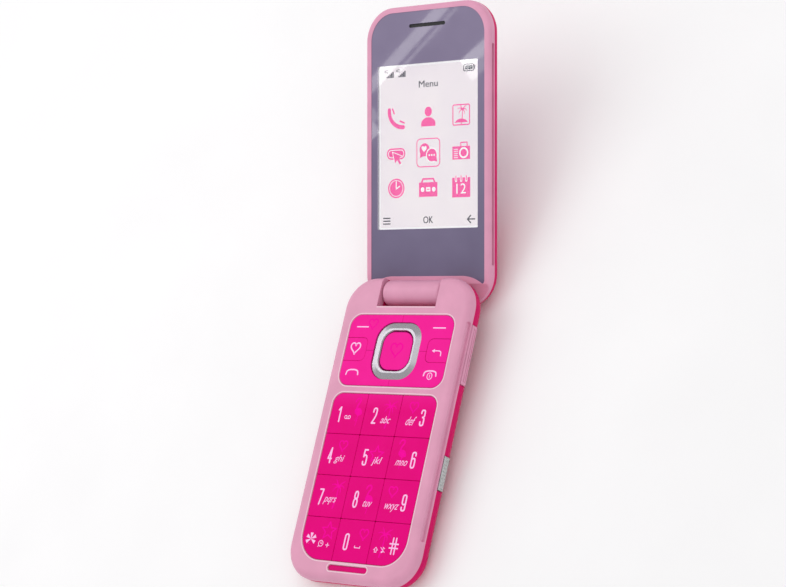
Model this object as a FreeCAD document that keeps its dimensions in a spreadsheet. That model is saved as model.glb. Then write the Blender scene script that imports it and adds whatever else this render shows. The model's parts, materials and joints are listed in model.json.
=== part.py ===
"""Folding phone: keypad half and display half joined by a hinge, lying open on a table.

Two working frames share one origin, the middle of the hinge axis, which runs along X.
  base frame: Y towards the hinge end, Z out of the keypad face, base at negative Y
  lid frame:  Y away from the hinge, Z out of the display face, lid at positive Y
Each sub-part is modelled in its half's frame, and its Placement puts it in the rest pose.
"""
import FreeCAD, Part
import Sketcher
import math
import os

Vector = FreeCAD.Vector
Rotation = FreeCAD.Rotation

DIMENSIONS = {
    # hinge and rest pose
    "open_angle": 159.7,          # degrees from folded to fully open
    "lid_gap": 0.3,               # between the faces when folded
    "barrel_radius": 4.6,
    "barrel_width": 24.6,
    "barrel_bore": 2.9,
    "barrel_round": 1.1,
    "pin_radius": 1.2,
    "pin_clearance": 0.05,
    "pin_length": 35.0,
    "saddle_radius": 6.2,
    "notch_width": 25.4,
    "notch_depth": 6.4,
    # keypad half
    "base_width": 54.8,
    "base_front": 4.9,            # height of the keypad face over the hinge axis
    "base_back": 4.6,             # depth of the back face below the hinge axis
    "base_end": 4.6,              # hinge end beyond the axis
    "base_foot": 103.8,           # bottom end from the axis
    "parting": 1.7,               # height of the joint between the two base shells
    "corner_radius": 11.5,
    "front_round": 2.5,
    "back_round": 5.0,
    "wall": 1.3,
    "deck": 1.5,
    "floor": 1.4,
    "floor_round": 3.3,
    "window_edge": 0.25,          # round on the rims of the openings
    # key windows
    "nav_width": 44.6,
    "nav_top": 9.6,
    "nav_bottom": 35.5,
    "nav_round": 4.3,
    "pad_width": 44.4,
    "pad_top": 38.3,
    "pad_bottom": 97.1,
    "pad_round_top": 3.8,
    "pad_round_bottom": 9.0,
    "key_gap": 0.12,
    "key_top": 4.8,
    "key_under": 3.75,
    "key_edge": 0.18,
    "key_corner": 0.4,
    "mid_key_inner": 13.1,
    "mid_key_top": 18.1,
    "mid_key_bottom": 26.5,
    "mid_key_round": 2.0,
    "ring_width": 19.3,
    "ring_height": 20.5,
    "ring_middle": 22.65,
    "ring_round": 6.6,
    "ring_band": 3.3,
    "ring_inner_round": 4.4,
    "ring_ridge": 5.0,
    "ring_slope_out": 2.2,
    "ring_slope_in": 0.9,
    "ring_drop": 0.55,
    "select_round": 4.2,
    # side keys, slot and grips
    "side_key_under": 1.1,
    "side_key_over": 1.55,
    "side_key_proud": 0.5,
    "side_key_inner": 25.95,
    "side_key_gap": 0.22,
    "key_groove_width": 0.3,
    "key_groove_depth": 0.2,
    "volume_top": 11.9,
    "volume_bottom": 32.8,
    "camera_key_top": 57.8,
    "camera_key_bottom": 69.5,
    "switch_depth": 1.5,
    "mic_slot_width": 16.4,
    "mic_slot_height": 1.9,
    "mic_slot_middle": 99.3,
    "mic_pad_gap": 0.1,
    "mic_pad_sunk": 0.45,         # depth of the pad in the slot below the keypad face
    "grip_depth": 0.8,
    "grip_low": 2.35,
    "grip_high": 4.3,
    "grip_top": 11.4,
    "grip_bottom": 87.7,
    "grip_lid_near": 9.5,
    "grip_lid_far": 85.6,
    # inside the base
    "mat_thickness": 0.7,
    "board_thickness": 1.0,
    "board_width": 43.0,
    "battery_width": 37.0,
    "battery_near": 37.9,
    "battery_far": 92.9,
    "battery_top": 0.6,
    "cover_width": 42.0,
    "cover_near": 34.6,
    "cover_far": 97.0,
    "cover_thickness": 0.9,
    "cover_round": 4.0,
    "boss_radius": 1.7,
    "boss_across": 23.6,
    "boss_near": 12.2,
    "boss_far": 88.0,
    "boss_joint": 1.2,
    "screw_radius": 0.8,
    "screw_head": 1.2,
    "screw_head_height": 0.9,
    "screw_recess": 0.8,
    "cheek_wall": 1.2,
    "cheek_side": 24.4,
    "cheek_end": 2.0,
    "cheek_floor": 2.2,
    "cheek_round": 5.0,
    "bracket_room": 5.4,          # width of the square room round a bracket
    "bracket_near": 5.0,
    # ports in the left wall
    "usb_middle": 40.0,
    "usb_width": 8.8,
    "usb_low": -1.6,
    "usb_high": 1.3,
    "usb_outer": 25.4,
    "usb_inner": 19.4,
    "jack_middle": 26.0,
    "jack_height": -0.55,
    "jack_width": 5.6,
    "jack_low": -2.65,
    "jack_high": 1.5,
    "jack_bore": 1.75,
    "jack_nose": 2.0,
    "jack_tip": 26.3,
    "jack_outer": 24.4,
    "jack_inner": 12.4,
    "jack_depth": 13.2,
    "port_gap": 0.1,
    # display half
    "lid_width": 54.4,
    "lid_thickness": 6.9,
    "lid_end": 4.7,               # hinge end beyond the axis
    "lid_far": 101.2,             # far end from the axis
    "frame_depth": 2.5,
    "lid_front_round": 1.4,
    "lid_back_round": 4.3,
    "lid_floor_round": 2.6,
    "lid_grip_low": 7.4,
    "lid_grip_high": 6.1,
    "lid_wall": 1.3,
    "lid_skin": 1.5,
    "glass_width": 49.2,
    "glass_near": 3.3,
    "glass_far": 99.1,
    "glass_round": 9.6,
    "glass_tip_round": 1.2,
    "glass_recess": 0.15,
    "glass_thickness": 1.0,
    "arch_line": 6.1,
    "arch_radius": 15.0,
    "display_opening": 45.2,
    "opening_near": 8.5,
    "opening_far": 96.6,
    "opening_round": 7.5,
    "display_width": 45.0,
    "display_near": 19.6,
    "display_far": 83.6,
    "display_thickness": 1.7,
    "tray_thickness": 0.6,
    "tray_width": 44.8,
    "lid_board_thickness": 0.8,
    "earpiece_middle": 94.0,
    "earpiece_width": 15.8,
    "earpiece_height": 1.3,
    "cover_glass_width": 44.0,
    "cover_glass_near": 30.0,
    "cover_glass_far": 94.0,
    "cover_glass_round": 7.0,
    "cover_glass_thickness": 0.8,
    "cover_display_width": 31.0,
    "cover_display_near": 36.0,
    "cover_display_far": 74.0,
    "camera_across": 11.0,
    "camera_along": 84.0,
    "camera_radius": 3.5,
    "flash_across": 1.5,
    "flash_radius": 1.2,
}

doc = FreeCAD.newDocument("folding_phone")
sheet = doc.addObject("Spreadsheet::Sheet", "Dims")
NODES = []


def fill_sheet(values):
    """Write each driving dimension as a plain number beside its name."""
    first_row = 1 + len(sheet.getUsedCells()) // 2
    for row, (name, number) in enumerate(values.items(), start=first_row):
        sheet.set("A%d" % row, name)
        sheet.set("B%d" % row, repr(number))
        sheet.setAlias("B%d" % row, name)
    doc.recompute()


def size(name):
    """Value of one cell of the sheet."""
    return float(getattr(sheet, name))


def rest_pose():
    """Tilt and height at which the open phone stands on the two rounded back edges."""
    slope = math.radians(180.0 - size("open_angle"))
    base_radius = size("back_round")
    base_y = base_radius - size("base_foot")
    base_z = base_radius - size("base_back")
    lid_radius = size("lid_back_round")
    outer = size("base_front") + size("lid_gap") + size("lid_thickness")
    edge_y = lid_radius - size("lid_end")
    edge_z = lid_radius - outer
    lid_y = edge_y * math.cos(slope) - edge_z * math.sin(slope)
    lid_z = edge_y * math.sin(slope) + edge_z * math.cos(slope)
    distance = math.hypot(lid_y - base_y, lid_z - base_z)
    lean = math.atan2(lid_z - base_z, lid_y - base_y)
    tilt = math.asin((lid_radius - base_radius) / distance) - lean
    height = base_radius - base_y * math.sin(tilt) - base_z * math.cos(tilt)
    return math.degrees(tilt), height


def bind(obj, sizes):
    """Tie properties to expressions in which a bare name stands for a cell of the sheet."""
    for prop, expression in sizes.items():
        obj.setExpression(prop, cells(expression))


def cells(expression):
    """Put the sheet's name before every alias in an expression."""
    words = []
    word = ""
    for letter in expression + " ":
        if letter.isalnum() or letter in "_.":
            word += letter
            continue
        if word and not word[0].isdigit():
            word = "Dims." + word
        words.append(word + letter)
        word = ""
    return "".join(words).strip()


def middle(low, high):
    return "((%s) + (%s)) / 2" % (low, high)


def span(low, high):
    return "(%s) - (%s)" % (high, low)


def origin_plane(body, role):
    return next(item for item in body.Origin.OriginFeatures if item.Role == role)


def value(expression):
    """Number that an expression in cell names stands for, read from a scratch property."""
    probe = doc.addObject("App::FeaturePython", "Probe")
    probe.addProperty("App::PropertyFloat", "Result")
    bind(probe, {"Result": expression})
    doc.recompute()
    result = probe.Result
    doc.removeObject(probe.Name)
    return result


def new_body(label):
    body = doc.addObject("PartDesign::Body", label)
    body.Label = label
    return body


def place_sketch(sketch, body, role, across, along, level):
    sketch.AttachmentSupport = [(origin_plane(body, role), "")]
    sketch.MapMode = "FlatFace"
    bind(sketch, {
        "AttachmentOffset.Base.x": across,
        "AttachmentOffset.Base.y": along,
        "AttachmentOffset.Base.z": level,
    })


def rectangle(body, xs, ys, level, role="XY_Plane"):
    """Rectangle between two pairs of limits, at a height over an origin plane."""
    sketch = body.newObject("Sketcher::SketchObject", body.Label + "_rectangle")
    corners = [Vector(-1, -1, 0), Vector(1, -1, 0), Vector(1, 1, 0), Vector(-1, 1, 0)]
    for index in range(4):
        sketch.addGeometry(Part.LineSegment(corners[index], corners[(index + 1) % 4]), False)
    for index in range(4):
        sketch.addConstraint(Sketcher.Constraint("Coincident", index, 2, (index + 1) % 4, 1))
    for index in (0, 2):
        sketch.addConstraint(Sketcher.Constraint("Horizontal", index))
    for index in (1, 3):
        sketch.addConstraint(Sketcher.Constraint("Vertical", index))
    sketch.addConstraint(Sketcher.Constraint("Symmetric", 0, 1, 2, 1, -1, 1))
    width = sketch.addConstraint(Sketcher.Constraint("DistanceX", 0, 1, 0, 2, 2.0))
    height = sketch.addConstraint(Sketcher.Constraint("DistanceY", 1, 1, 1, 2, 2.0))
    sketch.renameConstraint(width, "width")
    sketch.renameConstraint(height, "height")
    bind(sketch, {"Constraints.width": span(*xs), "Constraints.height": span(*ys)})
    place_sketch(sketch, body, role, middle(*xs), middle(*ys), level)
    return sketch


def rounded_rectangle(body, xs, ys, radius, level, role="XY_Plane"):
    """Rectangle between two pairs of limits with four equal round corners."""
    sketch = body.newObject("Sketcher::SketchObject", body.Label + "_rounded")
    half_x = value(span(*xs)) / 2
    half_y = value(span(*ys)) / 2
    turn = value(radius)
    near_x = half_x - turn
    near_y = half_y - turn
    up = Vector(0, 0, 1)
    sides = [
        (Vector(-near_x, -half_y, 0), Vector(near_x, -half_y, 0)),
        (Vector(half_x, -near_y, 0), Vector(half_x, near_y, 0)),
        (Vector(near_x, half_y, 0), Vector(-near_x, half_y, 0)),
        (Vector(-half_x, near_y, 0), Vector(-half_x, -near_y, 0)),
    ]
    centres = [(near_x, -near_y), (near_x, near_y), (-near_x, near_y), (-near_x, -near_y)]
    for index in range(4):
        sketch.addGeometry(Part.LineSegment(*sides[index]), False)
        round_corner = Part.Circle(Vector(*centres[index], 0), up, turn)
        start = math.radians(90 * index - 90)
        sketch.addGeometry(Part.ArcOfCircle(round_corner, start, start + math.pi / 2), False)
    for index in range(8):
        sketch.addConstraint(Sketcher.Constraint("Tangent", index, 2, (index + 1) % 8, 1))
    for index in (0, 4):
        sketch.addConstraint(Sketcher.Constraint("Horizontal", index))
    for index in (2, 6):
        sketch.addConstraint(Sketcher.Constraint("Vertical", index))
    for index in (3, 5, 7):
        sketch.addConstraint(Sketcher.Constraint("Equal", 1, index))
    sketch.addConstraint(Sketcher.Constraint("Symmetric", 7, 3, 3, 3, -1, 1))
    turn_index = sketch.addConstraint(Sketcher.Constraint("Radius", 1, turn))
    width = sketch.addConstraint(Sketcher.Constraint("DistanceX", 6, 1, 2, 1, 2 * half_x))
    height = sketch.addConstraint(Sketcher.Constraint("DistanceY", 0, 1, 4, 1, 2 * half_y))
    sketch.renameConstraint(turn_index, "radius")
    sketch.renameConstraint(width, "width")
    sketch.renameConstraint(height, "height")
    bind(sketch, {
        "Constraints.radius": radius,
        "Constraints.width": span(*xs),
        "Constraints.height": span(*ys),
    })
    place_sketch(sketch, body, role, middle(*xs), middle(*ys), level)
    return sketch


def circle(body, across, along, radius, level, role="XY_Plane"):
    """Circle round a point, at a height over an origin plane."""
    sketch = body.newObject("Sketcher::SketchObject", body.Label + "_circle")
    sketch.addGeometry(Part.Circle(Vector(0, 0, 0), Vector(0, 0, 1), 1.0), False)
    sketch.addConstraint(Sketcher.Constraint("Coincident", 0, 3, -1, 1))
    index = sketch.addConstraint(Sketcher.Constraint("Radius", 0, 1.0))
    sketch.renameConstraint(index, "radius")
    bind(sketch, {"Constraints.radius": radius})
    place_sketch(sketch, body, role, across, along, level)
    return sketch


def pad(body, sketch, length, reverse=False):
    """Add the sketch's prism along its normal, or against it."""
    feature = body.newObject("PartDesign::Pad", body.Label + "_pad")
    feature.Profile = sketch
    feature.Reversed = reverse
    bind(feature, {"Length": length})
    doc.recompute()
    return sketch


def pocket(body, sketch, depth, reverse=False):
    """Cut the sketch's prism against its normal, or along it, and see that it cuts."""
    before = body.Shape.Volume
    feature = body.newObject("PartDesign::Pocket", body.Label + "_pocket")
    feature.Profile = sketch
    feature.Reversed = reverse
    bind(feature, {"Length": depth})
    doc.recompute()
    if body.Shape.Volume > before - 1e-4:
        raise ValueError("a pocket of %s cuts nothing" % body.Label)
    return sketch


def round_pocket(body, xs, ys, radius, level, depth, reverse=False, role="XY_Plane"):
    """Pocket between two pairs of limits with four equal round corners."""
    return pocket(body, rounded_rectangle(body, xs, ys, radius, level, role), depth, reverse)


def dress(body, kind, names, sizes):
    """Fillet or chamfer named edges of the body's last feature."""
    if not names:
        raise ValueError("no edges to dress on %s" % body.Label)
    base = body.Tip
    feature = body.newObject("PartDesign::" + kind, body.Label + "_" + kind.lower())
    feature.Base = (base, names)
    bind(feature, sizes)
    doc.recompute()
    if sizes and "Invalid" in feature.State:
        raise ValueError("edges of %s can't take %s" % (body.Label, sizes))
    return feature


def round_corners(body, sketch, radius, corners=(0, 1, 2, 3)):
    """Fillet the edges that stand on the rectangle's corners, counted from its lower left."""
    half_x = sketch.getDatum("width").Value / 2
    half_y = sketch.getDatum("height").Value / 2
    signs = [(-1, -1), (1, -1), (1, 1), (-1, 1)]
    normal = sketch.Placement.Rotation.multVec(Vector(0, 0, 1))
    points = []
    for corner in corners:
        across, along = signs[corner]
        points.append(sketch.Placement.multVec(Vector(across * half_x, along * half_y, 0)))
    names = []
    for index, edge in enumerate(body.Tip.Shape.Edges, start=1):
        if edge.Curve.TypeId != "Part::GeomLine":
            continue
        start = edge.Vertexes[0].Point
        run = edge.Vertexes[-1].Point - start
        if run.cross(normal).Length > 1e-6 * run.Length:
            continue
        if any((point - start).cross(normal).Length < 1e-4 for point in points):
            names.append("Edge%d" % index)
    dress(body, "Fillet", names, {"Radius": radius})


def rim_names(body, level, inner=False):
    """Edges round the largest flat face at a height: its outline, or its openings."""
    faces = []
    for face in body.Tip.Shape.Faces:
        box = face.BoundBox
        if box.ZLength < 1e-6 and abs(box.ZMin - level) < 1e-4:
            faces.append(face)
    face = max(faces, key=lambda item: item.Area)
    rim = []
    for wire in face.Wires:
        if wire.isSame(face.OuterWire) != inner:
            rim.extend(wire.Edges)
    names = []
    for index, edge in enumerate(body.Tip.Shape.Edges, start=1):
        if any(edge.isSame(other) for other in rim):
            names.append("Edge%d" % index)
    return names


def round_rim(body, level, radius):
    """Fillet the outline of the flat face at a height."""
    dress(body, "Fillet", rim_names(body, level), {"Radius": radius})


def block_body(label, xs, ys, zs, corner=None):
    """Body that starts as a block, with its four upright edges rounded if asked."""
    body = new_body(label)
    sketch = pad(body, rectangle(body, xs, ys, zs[0]), span(*zs))
    if corner:
        round_corners(body, sketch, corner)
    return body


def disc_body(label, across, along, radius, zs):
    body = new_body(label)
    pad(body, circle(body, across, along, radius, zs[0]), span(*zs))
    return body


def finish(node, half):
    """Give a sub-part its rest pose, and list it for export."""
    angle = "rest_tilt" if half == "base" else "rest_tilt + 180 - open_angle"
    bind(node, {
        "Placement.Base.z": "axis_height",
        "Placement.Rotation.Angle": angle,
    })
    NODES.append(node)


def prepare(node):
    """Turn the Placement's axis to X before its angle is bound."""
    node.Placement = FreeCAD.Placement(Vector(0, 0, 0), Rotation(Vector(1, 0, 0), 10.0))


def add(node, half):
    prepare(node)
    finish(node, half)
    return node


def mirrored(limits):
    low, high = limits
    return ("-(%s)" % high, "-(%s)" % low)


def compound_node(label, solids, half):
    group = doc.addObject("Part::Compound", label)
    group.Label = label
    group.Links = solids
    return add(group, half)


# ---------------------------------------------------------------- base shells

BASE_XS = ("-base_width / 2", "base_width / 2")
BASE_YS = ("-base_foot", "base_end")
BASE_INNER_XS = ("wall - base_width / 2", "base_width / 2 - wall")
BASE_INNER_YS = ("wall - base_foot", "-notch_depth - cheek_wall")
CHEEK_XS = ("notch_width / 2 + cheek_wall", "cheek_side")
CHEEK_YS = ("-notch_depth - cheek_wall - 6", "cheek_end")
BRACKET_XS = ("notch_width / 2 + cheek_wall", "notch_width / 2 + cheek_wall + bracket_room")
BRACKET_YS = ("-bracket_near", "cheek_end")
NOTCH_XS = ("-notch_width / 2", "notch_width / 2")
NOTCH_YS = ("-notch_depth", "base_end + 1")
BOSS_PLACES = [
    ("boss_across", "-boss_near"),
    ("-boss_across", "-boss_near"),
    ("boss_across", "-boss_far"),
    ("-boss_across", "-boss_far"),
]


def main_room(body, level, depth, reverse):
    """Room between the outer walls and the wall below the hinge notch."""
    outline = ("corner_radius - wall", level)
    pocket(body, rounded_rectangle(body, BASE_INNER_XS, BASE_INNER_YS, *outline), depth, reverse)


def cheek_rooms(body, level, cheek_depth, reverse):
    """Small room in each hinge cheek, open to the main room, and a square one for its bracket."""
    for xs in (CHEEK_XS, mirrored(CHEEK_XS)):
        cheek = rounded_rectangle(body, xs, CHEEK_YS, "cheek_round", level)
        pocket(body, cheek, cheek_depth, reverse)
    for xs in (BRACKET_XS, mirrored(BRACKET_XS)):
        pocket(body, rectangle(body, xs, BRACKET_YS, level), cheek_depth, reverse)


def side_grips(body, ys, zs, half_width):
    """Shallow long recess with round ends in each side."""
    for side, reverse in ((1, False), (-1, True)):
        level = "%d * (%s)" % (side, half_width)
        end_round = "(%s) / 2.1" % span(*zs)
        round_pocket(body, ys, zs, end_round, level, "grip_depth", reverse, "YZ_Plane")


def make_base_front_shell():
    zs = ("parting", "base_front")
    body = block_body("base_front_shell", BASE_XS, BASE_YS, zs, "corner_radius")
    round_rim(body, size("base_front"), "front_round")
    main_room(body, "parting", "base_front - deck - parting", True)
    cheek_rooms(body, "parting", "base_front - deck - parting", True)
    pocket(body, rectangle(body, NOTCH_XS, NOTCH_YS, "base_front"), "base_front")
    nav_xs = ("-nav_width / 2", "nav_width / 2")
    nav_ys = ("-nav_bottom", "-nav_top")
    round_pocket(body, nav_xs, nav_ys, "nav_round", "base_front", "deck")
    pad_xs = ("-pad_width / 2", "pad_width / 2")
    keys = pocket(body, rectangle(body, pad_xs, ("-pad_bottom", "-pad_top"), "base_front"), "deck")
    round_corners(body, keys, "pad_round_top", (2, 3))
    round_corners(body, keys, "pad_round_bottom", (0, 1))
    slot_xs = ("-mic_slot_width / 2", "mic_slot_width / 2")
    slot_ys = ("-mic_slot_middle - mic_slot_height / 2", "-mic_slot_middle + mic_slot_height / 2")
    round_pocket(body, slot_xs, slot_ys, "mic_slot_height / 2.05", "base_front", "deck")
    dress(body, "Fillet", rim_names(body, size("base_front"), True), {"Radius": "window_edge"})
    side_grips(body, ("-grip_bottom", "-grip_top"), ("grip_low", "grip_high"), "base_width / 2")
    for across, along in BOSS_PLACES:
        post = circle(body, across, along, "boss_radius", "boss_joint")
        pad(body, post, "base_front - deck - boss_joint")
        bore = circle(body, across, along, "screw_radius", "boss_joint")
        pocket(body, bore, "1.9", True)
    return add(body, "base")


def make_base_back_shell():
    zs = ("-base_back", "parting")
    body = block_body("base_back_shell", BASE_XS, BASE_YS, zs, "corner_radius")
    main_room(body, "parting", "parting + base_back - floor", False)
    round_rim(body, size("floor") - size("base_back"), "floor_round")
    round_rim(body, -size("base_back"), "back_round")
    cheek_rooms(body, "parting", "parting + cheek_floor", False)
    pocket(body, rectangle(body, NOTCH_XS, NOTCH_YS, "parting"), "parting + base_back + 1")
    battery_opening(body)
    side_openings(body)
    for across, along in BOSS_PLACES:
        post = circle(body, across, along, "boss_radius", "0.5 - base_back + screw_head_height")
        pad(body, post, "boss_joint + base_back - 0.5 - screw_head_height")
        bore = circle(body, across, along, "screw_radius + 0.1", "boss_joint")
        pocket(body, bore, "boss_joint + base_back + 1")
        seat = circle(body, across, along, "screw_head + 0.1", "-base_back")
        pocket(body, seat, "screw_head_height + screw_recess", True)
    for across, along in BOSS_PLACES[:2]:
        well = circle(body, across, along, "boss_radius + 0.1", "parting")
        pocket(body, well, "parting - boss_joint")
    pin = circle(body, "0", "0", "pin_radius", "notch_width / 2 + cheek_wall + 1", "YZ_Plane")
    pocket(body, pin, "notch_width + 2 * cheek_wall + 2")
    return add(body, "base")


def battery_opening(body):
    """Way in for the battery, the shallow seat of its cover, and the sound slots beside it."""
    xs = ("-battery_width / 2 - 0.4", "battery_width / 2 + 0.4")
    ys = ("-battery_far - 0.4", "-battery_near + 0.4")
    pocket(body, rectangle(body, xs, ys, "0"), "base_back + 1")
    seat_xs = ("-cover_width / 2 - 0.1", "cover_width / 2 + 0.1")
    seat_ys = ("-cover_far - 0.1", "-cover_near + 0.1")
    round_pocket(body, seat_xs, seat_ys, "cover_round", "-base_back", "cover_thickness", True)
    for row in range(4):
        along = "-20.5 - 2.2 * %d" % row
        slot_ys = ("%s - 0.45" % along, "%s + 0.45" % along)
        round_pocket(body, ("-6", "6"), slot_ys, "0.42", "-3", "base_back")


def side_openings(body):
    """Notches for the two keys in the right wall, and ports in the left wall."""
    inner = "side_key_inner - 0.6"
    for top, bottom in (("volume_top", "volume_bottom"), ("camera_key_top", "camera_key_bottom")):
        xs = (inner, "base_width / 2 + 1")
        ys = ("-%s - side_key_gap" % bottom, "-%s + side_key_gap" % top)
        pocket(body, rectangle(body, xs, ys, "parting"), "parting + side_key_under + side_key_gap")
    outside = "-base_width / 2 - 1"
    port_ys = ("-usb_middle - usb_width / 2 - port_gap", "-usb_middle + usb_width / 2 + port_gap")
    port_zs = ("usb_low - port_gap", "usb_high + port_gap")
    port_depth = "base_width / 2 + 1 - usb_outer"
    round_pocket(body, port_ys, port_zs, "1.5", outside, port_depth, True, "YZ_Plane")
    jack = circle(body, "-jack_middle", "jack_height", "jack_nose + port_gap", outside, "YZ_Plane")
    pocket(body, jack, "base_width / 2 + 1 - jack_outer + port_gap", True)


# ---------------------------------------------------------------- keys

PAD_LEGENDS = (
    ("key_1", "key_2", "key_3"),
    ("key_4", "key_5", "key_6"),
    ("key_7", "key_8", "key_9"),
    ("key_star", "key_0", "key_hash"),
)
KEY_ZS = ("key_under", "key_top")


def key_limits(start, pitch, index, last):
    """Limits of one key along a row or column, a full gap at the window's edge."""
    low_gap = "key_gap" if index == 0 else "key_gap / 2"
    high_gap = "key_gap" if index == last else "key_gap / 2"
    low = "%s + (%s) * %d + %s" % (start, pitch, index, low_gap)
    high = "%s + (%s) * %d - %s" % (start, pitch, index + 1, high_gap)
    return low, high


def make_number_key(label, row, column):
    xs = key_limits("-pad_width / 2", "pad_width / 3", column, 2)
    ys = key_limits("-pad_bottom", "(pad_bottom - pad_top) / 4", 3 - row, 3)
    body = new_body(label)
    sketch = pad(body, rectangle(body, xs, ys, KEY_ZS[0]), span(*KEY_ZS))
    radii = ["key_corner"] * 4
    if row == 0 and column == 0:
        radii[3] = "pad_round_top - key_gap"
    if row == 0 and column == 2:
        radii[2] = "pad_round_top - key_gap"
    if row == 3 and column == 0:
        radii[0] = "pad_round_bottom - key_gap"
    if row == 3 and column == 2:
        radii[1] = "pad_round_bottom - key_gap"
    for radius in sorted(set(radii)):
        corners = [index for index in range(4) if radii[index] == radius]
        round_corners(body, sketch, radius, corners)
    round_rim(body, size("key_top"), "key_edge")
    return add(body, "base")


def ring_outline(grow):
    """Limits of the ring's outer edge, moved out by an amount."""
    xs = ("-ring_width / 2 - %s" % grow, "ring_width / 2 + %s" % grow)
    ys = ("-ring_middle - ring_height / 2 - %s" % grow, "-ring_middle + ring_height / 2 + %s" % grow)
    return xs, ys


def make_corner_key(label, side, upper):
    """Soft, call or end key: a quarter of the window less the ring and the middle key."""
    xs = ("key_gap / 2", "nav_width / 2 - key_gap")
    if upper:
        ys = ("-ring_middle + key_gap / 2", "-nav_top - key_gap")
    else:
        ys = ("key_gap - nav_bottom", "-ring_middle - key_gap / 2")
    if side < 0:
        xs = mirrored(xs)
    body = new_body(label)
    sketch = pad(body, rectangle(body, xs, ys, KEY_ZS[0]), span(*KEY_ZS))
    outer_corner = {(1, True): 2, (-1, True): 3, (-1, False): 0, (1, False): 1}[(side, upper)]
    round_corners(body, sketch, "nav_round - key_gap", (outer_corner,))
    ring = rectangle(body, *ring_outline("key_gap"), "key_top")
    pocket(body, ring, span(*KEY_ZS))
    ring_corner = {(1, True): 2, (-1, True): 3, (-1, False): 0, (1, False): 1}[(side, upper)]
    round_corners(body, ring, "ring_round + key_gap", (ring_corner,))
    mid_xs = ("mid_key_inner - key_gap", "nav_width / 2 + 1")
    mid_ys = ("-mid_key_bottom - key_gap", "-mid_key_top + key_gap")
    if side < 0:
        mid_xs = mirrored(mid_xs)
    mid = rectangle(body, mid_xs, mid_ys, "key_top")
    pocket(body, mid, span(*KEY_ZS))
    mid_corner = {(1, True): 3, (-1, True): 2, (-1, False): 1, (1, False): 0}[(side, upper)]
    round_corners(body, mid, "mid_key_round + key_gap", (mid_corner,))
    return add(body, "base")


def make_mid_key(label, side):
    xs = ("mid_key_inner", "nav_width / 2 - key_gap")
    inner_corners = (0, 3)
    if side < 0:
        xs = mirrored(xs)
        inner_corners = (1, 2)
    body = new_body(label)
    ys = ("-mid_key_bottom", "-mid_key_top")
    sketch = pad(body, rectangle(body, xs, ys, KEY_ZS[0]), span(*KEY_ZS))
    round_corners(body, sketch, "mid_key_round", inner_corners)
    round_rim(body, size("key_top"), "key_edge")
    return add(body, "base")


def make_select_key():
    inset = "(ring_band + key_gap)"
    xs = ("-ring_width / 2 + %s" % inset, "ring_width / 2 - %s" % inset)
    ys = ("-ring_middle - ring_height / 2 + %s" % inset, "-ring_middle + ring_height / 2 - %s" % inset)
    body = block_body("select_key", xs, ys, ("key_under", "key_top - 0.1"), "select_round")
    round_rim(body, size("key_top") - 0.1, "key_edge")
    return add(body, "base")


def make_nav_ring():
    """Rounded square ring with a wide outer slope and a narrow inner one."""
    xs, ys = ring_outline("0")
    body = block_body("nav_ring", xs, ys, ("key_under", "ring_ridge"), "ring_round")
    hole_xs = ("-ring_width / 2 + ring_band", "ring_width / 2 - ring_band")
    hole_ys = ("-ring_middle - ring_height / 2 + ring_band", "-ring_middle + ring_height / 2 - ring_band")
    depth = "ring_ridge - key_under"
    round_pocket(body, hole_xs, hole_ys, "ring_inner_round", "ring_ridge", depth)
    for inner, run in ((False, "ring_slope_out"), (True, "ring_slope_in")):
        names = rim_names(body, size("ring_ridge"), inner)
        slope = dress(body, "Chamfer", names, {})
        slope.ChamferType = "Two distances"
        bind(slope, {"Size": "ring_drop", "Size2": run})
        doc.recompute()
    return add(body, "base")


def make_nav_carrier():
    """Thin frame under the ring: the ring rocks on its side studs, it rocks on its end studs."""
    xs, ys = ring_outline("-0.4")
    body = block_body("nav_carrier", xs, ys, ("3.1", "3.3"), "ring_round - 0.4")
    hole_xs = ("-ring_width / 2 + 3.0", "ring_width / 2 - 3.0")
    hole_ys = ("-ring_middle - ring_height / 2 + 3.0", "-ring_middle + ring_height / 2 - 3.0")
    round_pocket(body, hole_xs, hole_ys, "ring_inner_round", "3.3", "0.2")
    for side in (-1, 1):
        upper = circle(body, "%d * (ring_width / 2 - 1.6)" % side, "-ring_middle", "0.4", "3.3")
        pad(body, upper, "key_under - 3.3 - 0.02")
        lower = circle(body, "0", "-ring_middle + %d * (ring_height / 2 - 1.6)" % side, "0.4", "3.1")
        pad(body, lower, "0.28", True)
    return add(body, "base")


def make_side_key(label, top, bottom):
    xs = ("side_key_inner", "base_width / 2 + side_key_proud")
    ys = ("-" + bottom, "-" + top)
    zs = ("-side_key_under", "side_key_over")
    body = block_body(label, xs, ys, zs)
    names = []
    outer = size("base_width") / 2 + size("side_key_proud")
    for index, edge in enumerate(body.Tip.Shape.Edges, start=1):
        if edge.BoundBox.XMin > outer - 1e-4:
            names.append("Edge%d" % index)
    dress(body, "Fillet", names, {"Radius": "side_key_proud - 0.1"})
    return add(body, "base")


def make_volume_key():
    """Rocker with two long grooves in its outer face."""
    body = make_side_key("volume_key", "volume_top", "volume_bottom")
    level = "base_width / 2 + side_key_proud"
    ys = ("-volume_bottom + 1", "-volume_top - 1")
    for height in ("0.7", "-0.25"):
        zs = ("%s - key_groove_width / 2" % height, "%s + key_groove_width / 2" % height)
        pocket(body, rectangle(body, ys, zs, level, "YZ_Plane"), "key_groove_depth")
    return body


def make_ribbed_key():
    """Side key whose outer face is crossed by fine grooves."""
    body = make_side_key("side_key", "camera_key_top", "camera_key_bottom")
    for index in range(10):
        along = "-camera_key_bottom + 1.17 * %d + 0.6" % index
        ys = ("%s - 0.12" % along, "%s + 0.12" % along)
        level = "base_width / 2 + side_key_proud"
        groove = rectangle(body, ys, ("-1.2", "1.6"), level, "YZ_Plane")
        pocket(body, groove, "0.15")
    return body


# ---------------------------------------------------------------- inside the base

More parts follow.
